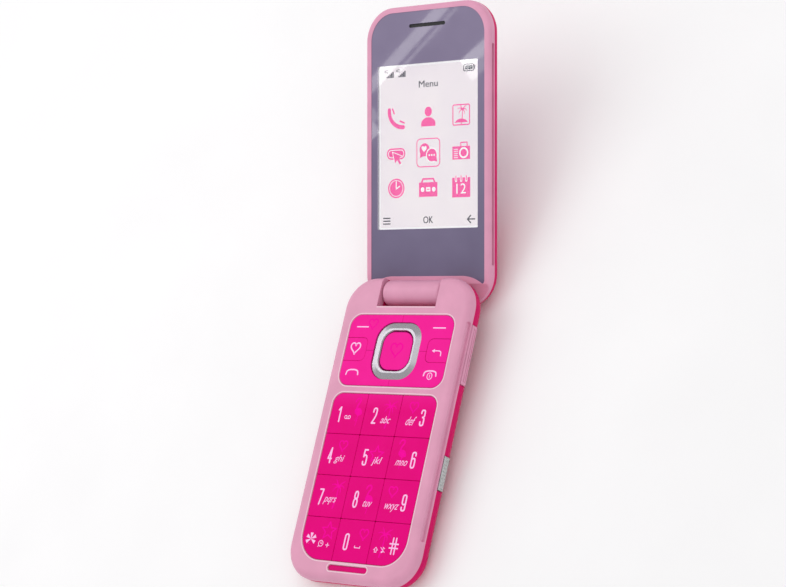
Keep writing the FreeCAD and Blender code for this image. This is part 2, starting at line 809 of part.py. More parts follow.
MAT_ZS = ("base_front - deck - mat_thickness", "base_front - deck")
BOARD_ZS = ("base_front - deck - mat_thickness - board_thickness", "base_front - deck - mat_thickness")
BOARD_UNDER = "(base_front - deck - mat_thickness - board_thickness)"


def make_key_mat():
    xs = ("-board_width / 2", "board_width / 2")
    body = block_body("key_mat", xs, ("-101.2", "-8.2"), MAT_ZS, "8.8")
    well = rectangle(body, *ring_outline("0.6"), "base_front - deck")
    pocket(body, well, "0.6")
    slot_pad_xs = ("-mic_slot_width / 2 + mic_pad_gap", "mic_slot_width / 2 - mic_pad_gap")
    slot_pad_ys = ("-mic_slot_middle - mic_slot_height / 2 + mic_pad_gap",
                   "-mic_slot_middle + mic_slot_height / 2 - mic_pad_gap")
    end_round = "(mic_slot_height - 2 * mic_pad_gap) / 2.05"
    slot_pad = rounded_rectangle(body, slot_pad_xs, slot_pad_ys, end_round, "base_front - deck")
    pad(body, slot_pad, "deck - mic_pad_sunk")
    return add(body, "base")


def make_main_board():
    xs = ("-board_width / 2", "board_width / 2")
    body = block_body("main_board", xs, ("-101.2", "-8.2"), BOARD_ZS, "8.8")
    hole = circle(body, "0", "-mic_slot_middle", "0.5", "base_front - deck - mat_thickness")
    pocket(body, hole, "board_thickness")
    return add(body, "base")


def make_battery():
    xs = ("-battery_width / 2", "battery_width / 2")
    zs = ("cover_thickness - base_back", "battery_top")
    body = block_body("battery", xs, ("-battery_far", "-battery_near"), zs, "1.5")
    return add(body, "base")


def make_battery_cover():
    xs = ("-cover_width / 2", "cover_width / 2")
    zs = ("-base_back", "cover_thickness - base_back")
    body = block_body("battery_cover", xs, ("-cover_far", "-cover_near"), zs, "cover_round - 0.1")
    nick_ys = ("-cover_near - 2.0", "-cover_near - 0.9")
    round_pocket(body, ("-6", "6"), nick_ys, "0.5", "-base_back", "0.45", True)
    return add(body, "base")


def make_under_board():
    """Small parts that hang from the board or stand on the back shell's floor."""
    under = BOARD_UNDER
    floor = "(floor - base_back)"
    boxes = {
        "battery_contacts": (("-4.5", "4.5"), ("-37.3", "-34.0"), ("-2.5", under)),
        "sim_holder": (("-8", "8"), ("-62", "-43"), ("battery_top + 0.05", under)),
        "shield_can": (("-10", "10"), ("-32.8", "-17"), ("0.4", under)),
        "loudspeaker": (("-10", "10"), ("-30.2", "-18"), (floor, "-0.5")),
        "antenna_carrier": (("-14", "14"), ("-100.6", "-97"), ("-1.6", "0.9")),
        "microphone": (("-2", "2"), ("-100.6", "-98"), ("0.9", under)),
        "volume_switches": (("side_key_inner - 0.4 - switch_depth", "side_key_inner - 0.4"),
                            ("-31", "-15"), ("-1", "1.2")),
        "side_key_switch": (("side_key_inner - 0.4 - switch_depth", "side_key_inner - 0.4"),
                            ("-66.6", "-60.6"), ("-1", "1.2")),
    }
    for label, (xs, ys, zs) in boxes.items():
        add(block_body(label, xs, ys, zs), "base")
    add(disc_body("vibration_motor", "17", "-22", "5", (floor, "-1.1")), "base")


def make_ports():
    """Charging socket and headphone jack, both opening to the left."""
    usb_ys = ("-usb_middle - usb_width / 2", "-usb_middle + usb_width / 2")
    socket = block_body("usb_socket", ("-usb_outer", "-usb_inner"), usb_ys, ("usb_low", "usb_high"))
    mouth_ys = ("-usb_middle - usb_width / 2 + 0.3", "-usb_middle + usb_width / 2 - 0.3")
    mouth = rectangle(socket, mouth_ys, ("usb_low + 0.3", "usb_high - 0.3"), "-usb_outer", "YZ_Plane")
    pocket(socket, mouth, "usb_outer - usb_inner - 0.6", True)
    tongue_ys = ("-usb_middle - 3", "-usb_middle + 3")
    tongue = rectangle(socket, tongue_ys, ("-0.45", "0.15"), "-usb_inner - 0.6", "YZ_Plane")
    pad(socket, tongue, "4.6", True)
    add(socket, "base")
    jack_ys = ("-jack_middle - jack_width / 2", "-jack_middle + jack_width / 2")
    jack = block_body("audio_jack", ("-jack_outer", "-jack_inner"), jack_ys, ("jack_low", "jack_high"))
    nose = circle(jack, "-jack_middle", "jack_height", "jack_nose", "-jack_outer", "YZ_Plane")
    pad(jack, nose, "jack_tip - jack_outer", True)
    bore = circle(jack, "-jack_middle", "jack_height", "jack_bore", "-jack_tip", "YZ_Plane")
    pocket(jack, bore, "jack_depth", True)
    add(jack, "base")


def screw(name, across, along, head_level, point_level, up):
    """Screw along Z: a head cylinder and a shank cylinder fused."""
    head = doc.addObject("Part::Cylinder", name + "_head")
    shank = doc.addObject("Part::Cylinder", name + "_shank")
    low = head_level if up else "(%s) - screw_head_height" % head_level
    bind(head, {
        "Radius": "screw_head", "Height": "screw_head_height",
        "Placement.Base.x": across, "Placement.Base.y": along, "Placement.Base.z": low,
    })
    bottom, top = (head_level, point_level) if up else (point_level, head_level)
    bind(shank, {
        "Radius": "screw_radius", "Height": span(bottom, top),
        "Placement.Base.x": across, "Placement.Base.y": along, "Placement.Base.z": bottom,
    })
    whole = doc.addObject("Part::Fuse", name)
    whole.Base = head
    whole.Tool = shank
    return whole


def make_base_screws():
    solids = []
    for number, (across, along) in enumerate(BOSS_PLACES, start=1):
        seat = "screw_recess - base_back"
        solids.append(screw("base_screw_%d" % number, across, along, seat, "3.0", True))
    compound_node("base_screws", solids, "base")


def make_hinge_parts():
    """Pin through the barrel, its two brackets in the cheeks, and the spring cartridge."""
    pin = new_body("hinge_pin")
    ring = circle(pin, "0", "0", "pin_radius", "-pin_length / 2", "YZ_Plane")
    pad(pin, ring, "pin_length")
    add(pin, "base")
    solids = []
    for name, low, high in (("right", "notch_width / 2 + cheek_wall", "pin_length / 2"),
                            ("left", "-pin_length / 2", "-notch_width / 2 - cheek_wall")):
        box = doc.addObject("Part::Box", "bracket_block_" + name)
        bind(box, {
            "Length": span(low, high), "Width": "6.6", "Height": "4.4",
            "Placement.Base.x": low, "Placement.Base.y": "-4.8", "Placement.Base.z": "-2.1",
        })
        bore = doc.addObject("Part::Cylinder", "bracket_bore_" + name)
        bore.Placement = FreeCAD.Placement(Vector(0, 0, 0), Rotation(Vector(0, 1, 0), 90))
        bind(bore, {"Radius": "pin_radius", "Height": "pin_length", "Placement.Base.x": "-pin_length / 2"})
        cut = doc.addObject("Part::Cut", "bracket_" + name)
        cut.Base = box
        cut.Tool = bore
        solids.append(cut)
    compound_node("hinge_brackets", solids, "base")
    cartridge = new_body("hinge_cartridge")
    start = "-barrel_width / 2 + 0.5"
    outer = circle(cartridge, "0", "0", "barrel_bore", start, "YZ_Plane")
    pad(cartridge, outer, "barrel_width - 1")
    inner = circle(cartridge, "0", "0", "pin_radius + pin_clearance", start, "YZ_Plane")
    pocket(cartridge, inner, "barrel_width - 1", True)
    add(cartridge, "lid")


# ---------------------------------------------------------------- lid

LID_XS = ("-lid_width / 2", "lid_width / 2")
LID_YS = ("-lid_end", "lid_far")
LID_FACE = "(-base_front - lid_gap)"
LID_PARTING = "(-base_front - lid_gap - frame_depth)"
LID_OUTER = "(-base_front - lid_gap - lid_thickness)"
GLASS_TOP = "(-base_front - lid_gap - glass_recess)"
GLASS_UNDER = "(-base_front - lid_gap - glass_recess - glass_thickness)"
TRAY_TOP = "(-base_front - lid_gap - glass_recess - glass_thickness - display_thickness)"
TRAY_UNDER = "(-base_front - lid_gap - glass_recess - glass_thickness - display_thickness - tray_thickness)"
LID_INSIDE = "(-base_front - lid_gap - lid_thickness + lid_skin)"


def glass_shape(label, low, high):
    """Window outline: round far corners, and a near edge arched over the base's round end."""
    xs = ("-glass_width / 2", "glass_width / 2")
    plate = new_body(label + "_plate")
    sketch = pad(plate, rectangle(plate, xs, ("glass_near", "glass_far"), low), span(low, high))
    round_corners(plate, sketch, "glass_round", (2, 3))
    round_corners(plate, sketch, "glass_tip_round", (0, 1))
    arch_xs = ("-2 * arch_radius", "2 * arch_radius")
    arch_zs = ("%s - 1" % low, "%s + 1" % high)
    arch = block_body(label + "_arch", arch_xs, ("arch_line - 40", "arch_line"), arch_zs, "arch_radius")
    cut = doc.addObject("Part::Cut", label)
    cut.Label = label
    cut.Base = plate
    cut.Tool = arch
    doc.recompute()
    return cut


def make_lid_frame():
    body = block_body("lid_frame_blank", LID_XS, LID_YS, (LID_PARTING, LID_FACE), "corner_radius")
    round_rim(body, value(LID_FACE), "lid_front_round")
    opening_xs = ("-display_opening / 2", "display_opening / 2")
    opening_ys = ("opening_near", "opening_far")
    round_pocket(body, opening_xs, opening_ys, "opening_round", LID_FACE, "frame_depth")
    saddle = circle(body, "0", "0", "saddle_radius", "base_width", "YZ_Plane")
    pocket(body, saddle, "2 * base_width")
    grip_zs = ("-lid_grip_low", "-lid_grip_high")
    side_grips(body, ("grip_lid_near", "grip_lid_far"), grip_zs, "lid_width / 2")
    web_xs = ("-barrel_width / 2", "barrel_width / 2")
    web = rectangle(body, web_xs, ("-barrel_radius", "barrel_radius"), "0")
    pad(body, web, "base_front + lid_gap + 2", True)
    barrel = circle(body, "0", "0", "barrel_radius", "-barrel_width / 2", "YZ_Plane")
    pad(body, barrel, "barrel_width")
    round_barrel(body)
    bore = circle(body, "0", "0", "barrel_bore", "barrel_width", "YZ_Plane")
    pocket(body, bore, "2 * barrel_width")
    seat = glass_shape("glass_seat", GLASS_UNDER, LID_FACE)
    frame = doc.addObject("Part::Cut", "lid_frame")
    frame.Label = "lid_frame"
    frame.Base = body
    frame.Tool = seat
    doc.recompute()
    return add(frame, "lid")


def round_barrel(body):
    """Fillet the round end edges of the hinge barrel."""
    names = []
    half = size("barrel_width") / 2
    for index, edge in enumerate(body.Tip.Shape.Edges, start=1):
        box = edge.BoundBox
        on_end = box.XLength < 1e-4 and abs(abs(box.XMin) - half) < 1e-4
        if on_end and box.ZMin > -5.0 and edge.Curve.TypeId == "Part::GeomCircle":
            names.append("Edge%d" % index)
    dress(body, "Fillet", names, {"Radius": "barrel_round"})


def make_lid_glass():
    glass = glass_shape("lid_glass_blank", GLASS_UNDER, GLASS_TOP)
    slot = block_body("earpiece_slot",
                      ("-earpiece_width / 2", "earpiece_width / 2"),
                      ("earpiece_middle - earpiece_height / 2", "earpiece_middle + earpiece_height / 2"),
                      ("%s - 1" % GLASS_UNDER, "%s + 1" % GLASS_TOP), "earpiece_height / 2.05")
    cut = doc.addObject("Part::Cut", "lid_glass")
    cut.Label = "lid_glass"
    cut.Base = glass
    cut.Tool = slot
    return add(cut, "lid")


def make_lid_back_shell():
    body = block_body("lid_back_shell", LID_XS, LID_YS, (LID_OUTER, LID_PARTING), "corner_radius")
    round_rim(body, value(LID_OUTER), "lid_back_round")
    room_xs = ("lid_wall - lid_width / 2", "lid_width / 2 - lid_wall")
    room_ys = ("lid_wall - lid_end", "lid_far - lid_wall")
    depth = "lid_thickness - frame_depth - lid_skin"
    round_pocket(body, room_xs, room_ys, "corner_radius - lid_wall", LID_PARTING, depth)
    round_rim(body, value(LID_INSIDE), "lid_floor_round")
    seat_xs = ("-cover_glass_width / 2", "cover_glass_width / 2")
    seat_ys = ("cover_glass_near", "cover_glass_far")
    seat_depth = "cover_glass_thickness"
    round_pocket(body, seat_xs, seat_ys, "cover_glass_round", LID_OUTER, seat_depth, True)
    window_xs = ("-cover_display_width / 2 + 1", "cover_display_width / 2 - 1")
    window = rectangle(body, window_xs, ("cover_display_near + 1", "cover_display_far - 1"), LID_OUTER)
    pocket(body, window, "lid_skin", True)
    for across, radius in (("camera_across", "camera_radius"), ("flash_across", "flash_radius")):
        hole = circle(body, across, "camera_along", radius, LID_OUTER)
        pocket(body, hole, "lid_skin", True)
    for across in ("20", "-20"):
        for along in ("12.4", "92.6"):
            post = circle(body, across, along, "boss_radius", LID_INSIDE)
            pad(body, post, span(LID_INSIDE, TRAY_UNDER))
            bore = circle(body, across, along, "screw_radius", TRAY_UNDER)
            pocket(body, bore, "2.0")
    return add(body, "lid")


def make_cover_glass():
    xs = ("-cover_glass_width / 2", "cover_glass_width / 2")
    zs = (LID_OUTER, "%s + cover_glass_thickness" % LID_OUTER)
    ys = ("cover_glass_near", "cover_glass_far")
    body = block_body("cover_glass", xs, ys, zs, "cover_glass_round")
    for across, radius in (("camera_across", "camera_radius"), ("flash_across", "flash_radius")):
        hole = circle(body, across, "camera_along", radius, LID_OUTER)
        pocket(body, hole, "cover_glass_thickness", True)
    return add(body, "lid")


def make_lid_insides():
    board_top = TRAY_UNDER
    board_under = "%s - lid_board_thickness" % TRAY_UNDER
    tray_xs = ("-tray_width / 2", "tray_width / 2")
    ring_ys = ("opening_near + 0.3", "opening_far - 0.3")
    display_xs = ("-display_width / 2", "display_width / 2")
    display_ys = ("display_near", "display_far")
    add(block_body("main_display", display_xs, display_ys, (TRAY_TOP, GLASS_UNDER)), "lid")
    tray = block_body("display_tray", tray_xs, ring_ys, (TRAY_UNDER, TRAY_TOP), "7")
    for across in ("20", "-20"):
        for along in ("12.4", "92.6"):
            hole = circle(tray, across, along, "screw_radius + 0.1", TRAY_TOP)
            pocket(tray, hole, "tray_thickness")
    add(tray, "lid")
    board = block_body("lid_board", ("-17.5", "17.5"), ("12", "95.5"), (board_under, board_top), "2")
    add(board, "lid")
    add(block_body("earpiece", ("-6", "6"), ("90.6", "96.2"), (TRAY_TOP, GLASS_UNDER), "1"), "lid")
    mesh_xs = ("-earpiece_width / 2", "earpiece_width / 2")
    mesh_ys = ("earpiece_middle - earpiece_height / 2", "earpiece_middle + earpiece_height / 2")
    mesh_zs = (GLASS_UNDER, "%s + 0.6" % GLASS_UNDER)
    mesh = block_body("earpiece_mesh", mesh_xs, mesh_ys, mesh_zs, "earpiece_height / 2.05")
    add(mesh, "lid")
    add(block_body("lid_magnet", ("12", "16"), ("86", "89"), (TRAY_TOP, GLASS_UNDER)), "lid")
    cover_xs = ("-cover_display_width / 2", "cover_display_width / 2")
    cover_ys = ("cover_display_near", "cover_display_far")
    add(block_body("cover_display", cover_xs, cover_ys, (LID_INSIDE, board_under)), "lid")
    camera_xs = ("camera_across - 4.2", "camera_across + 4.2")
    camera_ys = ("camera_along - 4.2", "camera_along + 4.2")
    add(block_body("camera_module", camera_xs, camera_ys, (LID_INSIDE, board_under)), "lid")
    lens_zs = (LID_OUTER, LID_INSIDE)
    add(disc_body("camera_lens", "camera_across", "camera_along", "camera_radius", lens_zs), "lid")
    add(disc_body("flash_led", "flash_across", "camera_along", "flash_radius", lens_zs), "lid")


def make_lid_screws():
    solids = []
    places = [(across, along) for across in ("20", "-20") for along in ("12.4", "92.6")]
    for number, (across, along) in enumerate(places, start=1):
        name = "lid_screw_%d" % number
        point = "%s - 1.8" % TRAY_UNDER
        solids.append(screw(name, across, along, "%s + screw_head_height" % TRAY_TOP, point, False))
    compound_node("lid_screws", solids, "lid")


def build():
    make_base_front_shell()
    make_base_back_shell()
    for row, labels in enumerate(PAD_LEGENDS):
        for column, label in enumerate(labels):
            make_number_key(label, row, column)
    make_corner_key("soft_key_left", -1, True)
    make_corner_key("soft_key_right", 1, True)
    make_corner_key("call_key", -1, False)
    make_corner_key("end_key", 1, False)
    make_mid_key("favourite_key", -1)
    make_mid_key("back_key", 1)
    make_select_key()
    make_nav_ring()
    make_nav_carrier()
    make_volume_key()
    make_ribbed_key()
    make_key_mat()
    make_main_board()
    make_battery()
    make_battery_cover()
    make_under_board()
    make_ports()
    make_base_screws()
    make_hinge_parts()
    make_lid_frame()
    make_lid_glass()
    make_lid_back_shell()
    make_cover_glass()
    make_lid_insides()
    make_lid_screws()


def check_and_write():
    """Every object recomputed and every sub-part solid and valid before anything is written."""
    doc.recompute()
    for obj in doc.Objects:
        if "Invalid" in obj.State or "Error" in obj.State:
            raise ValueError("%s did not compute" % obj.Label)
    os.makedirs("parts", exist_ok=True)
    for node in NODES:
        shape = node.Shape
        if shape.isNull() or not shape.isValid() or not shape.Solids:
            raise ValueError("%s has no valid solid" % node.Label)
    for node in NODES:
        node.Shape.exportStep("parts/%s.step" % node.Label)
        print("%-18s solids %d volume %9.2f" % (node.Label, len(node.Shape.Solids), node.Shape.Volume))
    print("nodes", len(NODES))


fill_sheet(DIMENSIONS)
tilt, height = rest_pose()
fill_sheet({"rest_tilt": round(tilt, 4), "axis_height": round(height, 4)})
print("rest tilt %.4f axis height %.4f" % (tilt, height))
build()
check_and_write()
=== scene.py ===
import json
import math

import bmesh
import bpy
from mathutils import Matrix, Vector
from mathutils.geometry import tessellate_polygon


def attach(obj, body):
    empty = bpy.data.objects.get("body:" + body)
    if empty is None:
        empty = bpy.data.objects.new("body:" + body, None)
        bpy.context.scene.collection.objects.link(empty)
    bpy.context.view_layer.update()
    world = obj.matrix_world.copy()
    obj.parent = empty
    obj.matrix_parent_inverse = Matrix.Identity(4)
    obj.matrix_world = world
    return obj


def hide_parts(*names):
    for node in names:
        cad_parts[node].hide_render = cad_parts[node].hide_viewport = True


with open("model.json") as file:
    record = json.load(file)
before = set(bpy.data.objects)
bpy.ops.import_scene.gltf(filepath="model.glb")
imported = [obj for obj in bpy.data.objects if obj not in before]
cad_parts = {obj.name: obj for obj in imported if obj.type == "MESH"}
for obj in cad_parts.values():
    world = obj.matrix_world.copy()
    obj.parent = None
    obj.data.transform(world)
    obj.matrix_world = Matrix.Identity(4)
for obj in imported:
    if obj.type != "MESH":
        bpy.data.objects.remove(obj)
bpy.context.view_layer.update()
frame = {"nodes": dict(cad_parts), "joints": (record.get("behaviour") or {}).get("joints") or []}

MM = 0.001
LAYER_STEP = 0.004

# Heights in the two local frames, in millimetres, as the CAD has them.
FACE_TOP = 4.9
KEY_TOP = 4.8
SELECT_KEY_TOP = 4.7
GLASS_TOP = -5.35
PANEL_TOP = -6.35

# Edges of the screen in the lid's frame, in millimetres.
SCREEN_SIDE = 21.73
SCREEN_NEAR = 22.69
SCREEN_FAR = 80.64
SCREEN_CORNER = 0.3

# Thickness of what is printed, painted highlights included, in millimetres.
PRINT_THICKNESS = 0.02
MOTIF_THICKNESS = 0.012
ICON_THICKNESS = 0.01
PAINTED_HIGHLIGHT_THICKNESS = 0.01


# ---------------------------------------------------------------- local frames

def local_frames():
    """Frames of the two halves: origin on the hinge axis, X along it, Z out of the keypad or display."""
    joints = {joint["name"]: joint for joint in frame["joints"]}
    hinge = joints["lid_hinge"]
    into_key = Vector(joints["key_5_press"]["axis"])
    tilt = math.atan2(into_key.y, -into_key.z)
    closing = math.radians(max(hinge["range_deg"]))
    to_axis = Matrix.Translation(Vector(hinge["pos_m"]))
    base = to_axis @ Matrix.Rotation(tilt, 4, "X")
    lid = to_axis @ Matrix.Rotation(tilt + math.pi - closing, 4, "X")
    return base, lid


BASE, LID = local_frames()


# ---------------------------------------------------------------- outlines, in millimetres

# Inner radius of a star as a share of its outer radius.
STAR_INNER = 0.45


def ellipse(x, y, rx, ry, count=40):
    turns = [2 * math.pi * index / count for index in range(count)]
    return [(x + rx * math.cos(turn), y + ry * math.sin(turn)) for turn in turns]


def arc(x, y, radius, start, end, count=12):
    turns = [math.radians(start + (end - start) * index / count) for index in range(count + 1)]
    return [(x + radius * math.cos(turn), y + radius * math.sin(turn)) for turn in turns]


def rounded(x0, y0, x1, y1, radius):
    """Rectangle with round corners."""
    corners = ((x1, y0, -90), (x1, y1, 0), (x0, y1, 90), (x0, y0, 180))
    points = []
    for x, y, start in corners:
        inside_x = x - math.copysign(radius, x - (x0 + x1) / 2)
        inside_y = y - math.copysign(radius, y - (y0 + y1) / 2)
        points += arc(inside_x, inside_y, radius, start, start + 90, 6)
    return points


def frame_outline(x0, y0, x1, y1, radius, width):
    """Rounded frame of a given width, as an outer and an inner outline."""
    inner = max(radius - width, 0.02)
    return [rounded(x0, y0, x1, y1, radius), rounded(x0 + width, y0 + width, x1 - width, y1 - width, inner)]


def smooth(points, steps=6, closed=False):
    """Catmull-Rom curve through the points."""
    count = len(points)
    result = []
    for index in range(count if closed else count - 1):
        if closed:
            near = [points[(index + shift) % count] for shift in (-1, 0, 1, 2)]
        else:
            near = [points[min(max(index + shift, 0), count - 1)] for shift in (-1, 0, 1, 2)]
        a, b, c, d = (Vector(point) for point in near)
        for step in range(steps):
            u = step / steps
            spot = b * 2 + (c - a) * u + (a * 2 - b * 5 + c * 4 - d) * u * u
            spot += (b * 3 - a - c * 3 + d) * u * u * u
            result.append(tuple(spot / 2))
    if not closed:
        result.append(tuple(points[-1]))
    return result


def sides(points, widths, closed):
    """Points offset to both sides of a line by half its width."""
    count = len(points)
    left, right = [], []
    for index, point in enumerate(points):
        before = points[index - 1] if closed or index else point
        after = points[(index + 1) % count] if closed or index < count - 1 else point
        into = Vector(point) - Vector(before)
        away = Vector(after) - Vector(point)
        into = into.normalized() if into.length else away.normalized()
        away = away.normalized() if away.length else into
        along = (into + away).normalized()
        normal = Vector((-along.y, along.x))
        stretch = 1 / max(along.dot(into), 0.5)
        reach = normal * stretch * widths[index] / 2
        left.append(tuple(Vector(point) + reach))
        right.append(tuple(Vector(point) - reach))
    return left, right


def line(points, width, end_width=None):
    """Outline of a line with round ends, tapering if a second width is given."""
    count = len(points)
    end_width = width if end_width is None else end_width
    widths = [width + (end_width - width) * index / (count - 1) for index in range(count)]
    left, right = sides(points, widths, False)
    first = Vector(points[0]) - Vector(points[1])
    last = Vector(points[-1]) - Vector(points[-2])
    start_angle = math.degrees(math.atan2(first.y, first.x))
    end_angle = math.degrees(math.atan2(last.y, last.x))
    cap_start = arc(*points[0], width / 2, start_angle - 90, start_angle + 90, 8)
    cap_end = arc(*points[-1], end_width / 2, end_angle - 90, end_angle + 90, 8)
    return [cap_start[1:-1] + right + cap_end[1:-1] + left[::-1]]


def loop(points, width):
    """Outlines of a closed line: its outer and inner edges."""
    left, right = sides(points, [width] * len(points), True)
    return [left, right]


def heart(x, y, width, height):
    points = []
    for index in range(48):
        turn = 2 * math.pi * (index + 0.5) / 48
        across = 16 * math.sin(turn) ** 3 / 32
        along = 13 * math.cos(turn) - 5 * math.cos(2 * turn) - 2 * math.cos(3 * turn) - math.cos(4 * turn)
        points.append((x + width * across, y + height * (along + 2.5) / 29))
    return points


def star(x, y, radius):
    """Five-pointed star."""
    points = []
    for index in range(10):
        turn = math.pi / 2 + math.pi * index / 5
        reach = radius if index % 2 == 0 else radius * STAR_INNER
        points.append((x + reach * math.cos(turn), y + reach * math.sin(turn)))
    return points


# ---------------------------------------------------------------- pieces from outlines

def slab(mesh, outlines, low, high, slot_index):
    """Add a flat plate with the given outlines, an outer one and its holes, to a bmesh."""
    loops = [[Vector((x, y, 0)) for x, y in outline] for outline in outlines]
    flat = [point for points in loops for point in points]
    bottom = [mesh.verts.new((point.x, point.y, low)) for point in flat]
    top = [mesh.verts.new((point.x, point.y, high)) for point in flat]
    made = []
    for triangle in tessellate_polygon(loops):
        corners = [flat[index] for index in triangle]
        area = (corners[1] - corners[0]).cross(corners[2] - corners[0]).z
        order = triangle if area > 0 else triangle[::-1]
        made.append(mesh.faces.new([top[index] for index in order]))
        made.append(mesh.faces.new([bottom[index] for index in order[::-1]]))
    start = 0
    for points in loops:
        count = len(points)
        for index in range(count):
            here, there = start + index, start + (index + 1) % count
            made.append(mesh.faces.new((bottom[here], bottom[there], top[there], top[here])))
        start += count
    for face in made:
        face.material_index = slot_index


def piece_from(mesh, name, place, body, materials):
    """Finish a bmesh in local millimetres as a piece that rides on a body."""
    bmesh.ops.recalc_face_normals(mesh, faces=mesh.faces)
    mesh.transform(place @ Matrix.Scale(MM, 4))
    data = bpy.data.meshes.new(name)
    mesh.to_mesh(data)
    mesh.free()
    piece = bpy.data.objects.new(name, data)
    bpy.context.scene.collection.objects.link(piece)
    for material in materials:
        data.materials.append(material)
    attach(piece, body)
    return piece


def printed(name, place, body, layers, low, thickness):
    """A printed mark: layers of (material, list of outline groups), each a hair above the last."""
    mesh = bmesh.new()
    materials = []
    height = low
    for material, groups in layers:
        if material not in materials:
            materials.append(material)
        for outlines in groups:
            slab(mesh, outlines, low, height + thickness, materials.index(material))
            height += LAYER_STEP
    return piece_from(mesh, name, place, body, materials)


# ---------------------------------------------------------------- material nodes

# Length of one band of the wave texture at scale 1.
WAVE_LENGTH = 0.314

# Marks along the phone, in metres, between which a colour goes over to another, as painted light on the keys
# and on the window.
PAINTED_LIGHT_PAD_TO_RING_KEYS = (-0.044, -0.034)
WINDOW_PAINTED_LIGHT_NEAR_TO_FAR = (0.004, 0.09)

SCREEN_GLOW = 0.74


def linear(red, green, blue):
    """Linear colour of an sRGB colour given from 0 to 255."""
    channels = []
    for value in (red, green, blue):
        share = value / 255
        channels.append(share / 12.92 if share <= 0.04045 else ((share + 0.055) / 1.055) ** 2.4)
    return (*channels, 1.0)


def shade(colour, factor):
    return (*(min(channel * factor, 1.0) for channel in colour[:3]), 1.0)


class Finish:
    """A Principled material with object-space patterns in millimetres."""

    def __init__(self, name):
        self.material = bpy.data.materials.new(name)
        self.material.use_nodes = True
        tree = self.material.node_tree
        self.nodes = tree.nodes
        self.links = tree.links
        self.shader = self.nodes["Principled BSDF"]
        self.coordinates = self.nodes.new("ShaderNodeTexCoord").outputs["Object"]

    def set(self, **values):
        for name, value in values.items():
            self.shader.inputs[name.replace("_", " ")].default_value = value
        return self

    def noise(self, size_mm, detail=3.0, stretch=(1, 1, 1)):
        """Noise whose features are about size_mm across."""
        mapping = self.nodes.new("ShaderNodeMapping")
        mapping.inputs["Scale"].default_value = stretch
        self.links.new(self.coordinates, mapping.inputs["Vector"])
        texture = self.nodes.new("ShaderNodeTexNoise")
        texture.inputs["Scale"].default_value = 1 / (size_mm * MM)
        texture.inputs["Detail"].default_value = detail
        self.links.new(mapping.outputs["Vector"], texture.inputs["Vector"])
        return texture.outputs["Fac"]

    def cells(self, size_mm):
        texture = self.nodes.new("ShaderNodeTexVoronoi")
        texture.inputs["Scale"].default_value = 1 / (size_mm * MM)
        self.links.new(self.coordinates, texture.inputs["Vector"])
        return texture.outputs["Distance"]

    def stripes(self, size_mm, axis):
        texture = self.nodes.new("ShaderNodeTexWave")
        texture.bands_direction = axis
        texture.inputs["Scale"].default_value = WAVE_LENGTH / (size_mm * MM)
        self.links.new(self.coordinates, texture.inputs["Vector"])
        return texture.outputs["Fac"]

    def ranged(self, source, low, high, from_low=0.3, from_high=0.7):
        node = self.nodes.new("ShaderNodeMapRange")
        node.inputs["From Min"].default_value = from_low
        node.inputs["From Max"].default_value = from_high
        node.inputs["To Min"].default_value = low
        node.inputs["To Max"].default_value = high
        self.links.new(source, node.inputs["Value"])
        return node.outputs["Result"]

    def along(self, low, high):
        """Share that rises from 0 to 1 between two metre marks along the phone."""
        split = self.nodes.new("ShaderNodeSeparateXYZ")
        self.links.new(self.coordinates, split.inputs["Vector"])
        return self.ranged(split.outputs["Y"], 0.0, 1.0, low, high)

    def tone(self, source, first, second):
        """Colour running from first to second as the pattern rises."""
        ramp = self.nodes.new("ShaderNodeValToRGB")
        ramp.color_ramp.elements[0].position = 0.3
        ramp.color_ramp.elements[0].color = first
        ramp.color_ramp.elements[1].position = 0.7
        ramp.color_ramp.elements[1].color = second
        self.links.new(source, ramp.inputs["Fac"])
        return ramp.outputs["Color"]

    def blend(self, share, first, second):
        """Base colour that goes over from one colour to another."""
        mix = self.nodes.new("ShaderNodeMix")
        mix.data_type = "RGBA"
        self.links.new(share, mix.inputs["Factor"])
        self.links.new(first, mix.inputs["A"])
        self.links.new(second, mix.inputs["B"])
        self.links.new(mix.outputs["Result"], self.shader.inputs["Base Color"])
        return self

    def colour(self, source, first, second, target="Base Color"):
        self.links.new(self.tone(source, first, second), self.shader.inputs[target])
        return self

    def roughness(self, source, low, high):
        self.links.new(self.ranged(source, low, high), self.shader.inputs["Roughness"])
        return self

    def bump(self, source, depth_mm, strength=0.5):
        node = self.nodes.new("ShaderNodeBump")
        node.inputs["Distance"].default_value = depth_mm * MM
        node.inputs["Strength"].default_value = strength
        self.links.new(source, node.inputs["Height"])
        self.links.new(node.outputs["Normal"], self.shader.inputs["Normal"])
        return self


def moulded(name, colour, rough, grain_mm=0.12, grain_depth=0.006, spread=0.05):
    """Moulded plastic: faint flow marks in the colour and a fine spark-eroded grain."""
    finish = Finish(name)
    finish.colour(finish.noise(9.0, 4.0), shade(colour, 1 - spread), shade(colour, 1 + spread))
    finish.roughness(finish.noise(1.2, 5.0), rough - 0.05, rough + 0.06)
    finish.bump(finish.noise(grain_mm, 2.0), grain_depth)
    return finish


def light_pink_plastic():
    finish = moulded("light_pink_plastic", linear(222, 154, 183), 0.42)
    return finish.set(Specular_IOR_Level=0.4).material


def hot_pink_plastic():
    finish = moulded("hot_pink_plastic", linear(210, 0, 98), 0.4)
    return finish.set(Specular_IOR_Level=0.1).material


def key_pink_plastic():
    """Key plastic with painted light: a little brighter on the keys round the ring than on the number keys.
    """
    finish = Finish("key_pink_plastic")
    pad = finish.tone(finish.noise(9.0, 4.0), linear(228, 2, 122), linear(233, 4, 128))
    # Painted light: a brighter tone for the keys round the ring.
    ring_keys_painted_light = finish.tone(finish.noise(9.0, 4.0), linear(244, 30, 150), linear(248, 34, 156))
    finish.blend(finish.along(*PAINTED_LIGHT_PAD_TO_RING_KEYS), pad, ring_keys_painted_light)
    finish.roughness(finish.noise(1.2, 5.0), 0.3, 0.4)
    finish.bump(finish.noise(0.2, 2.0), 0.002)
    return finish.set(Specular_IOR_Level=0.04).material


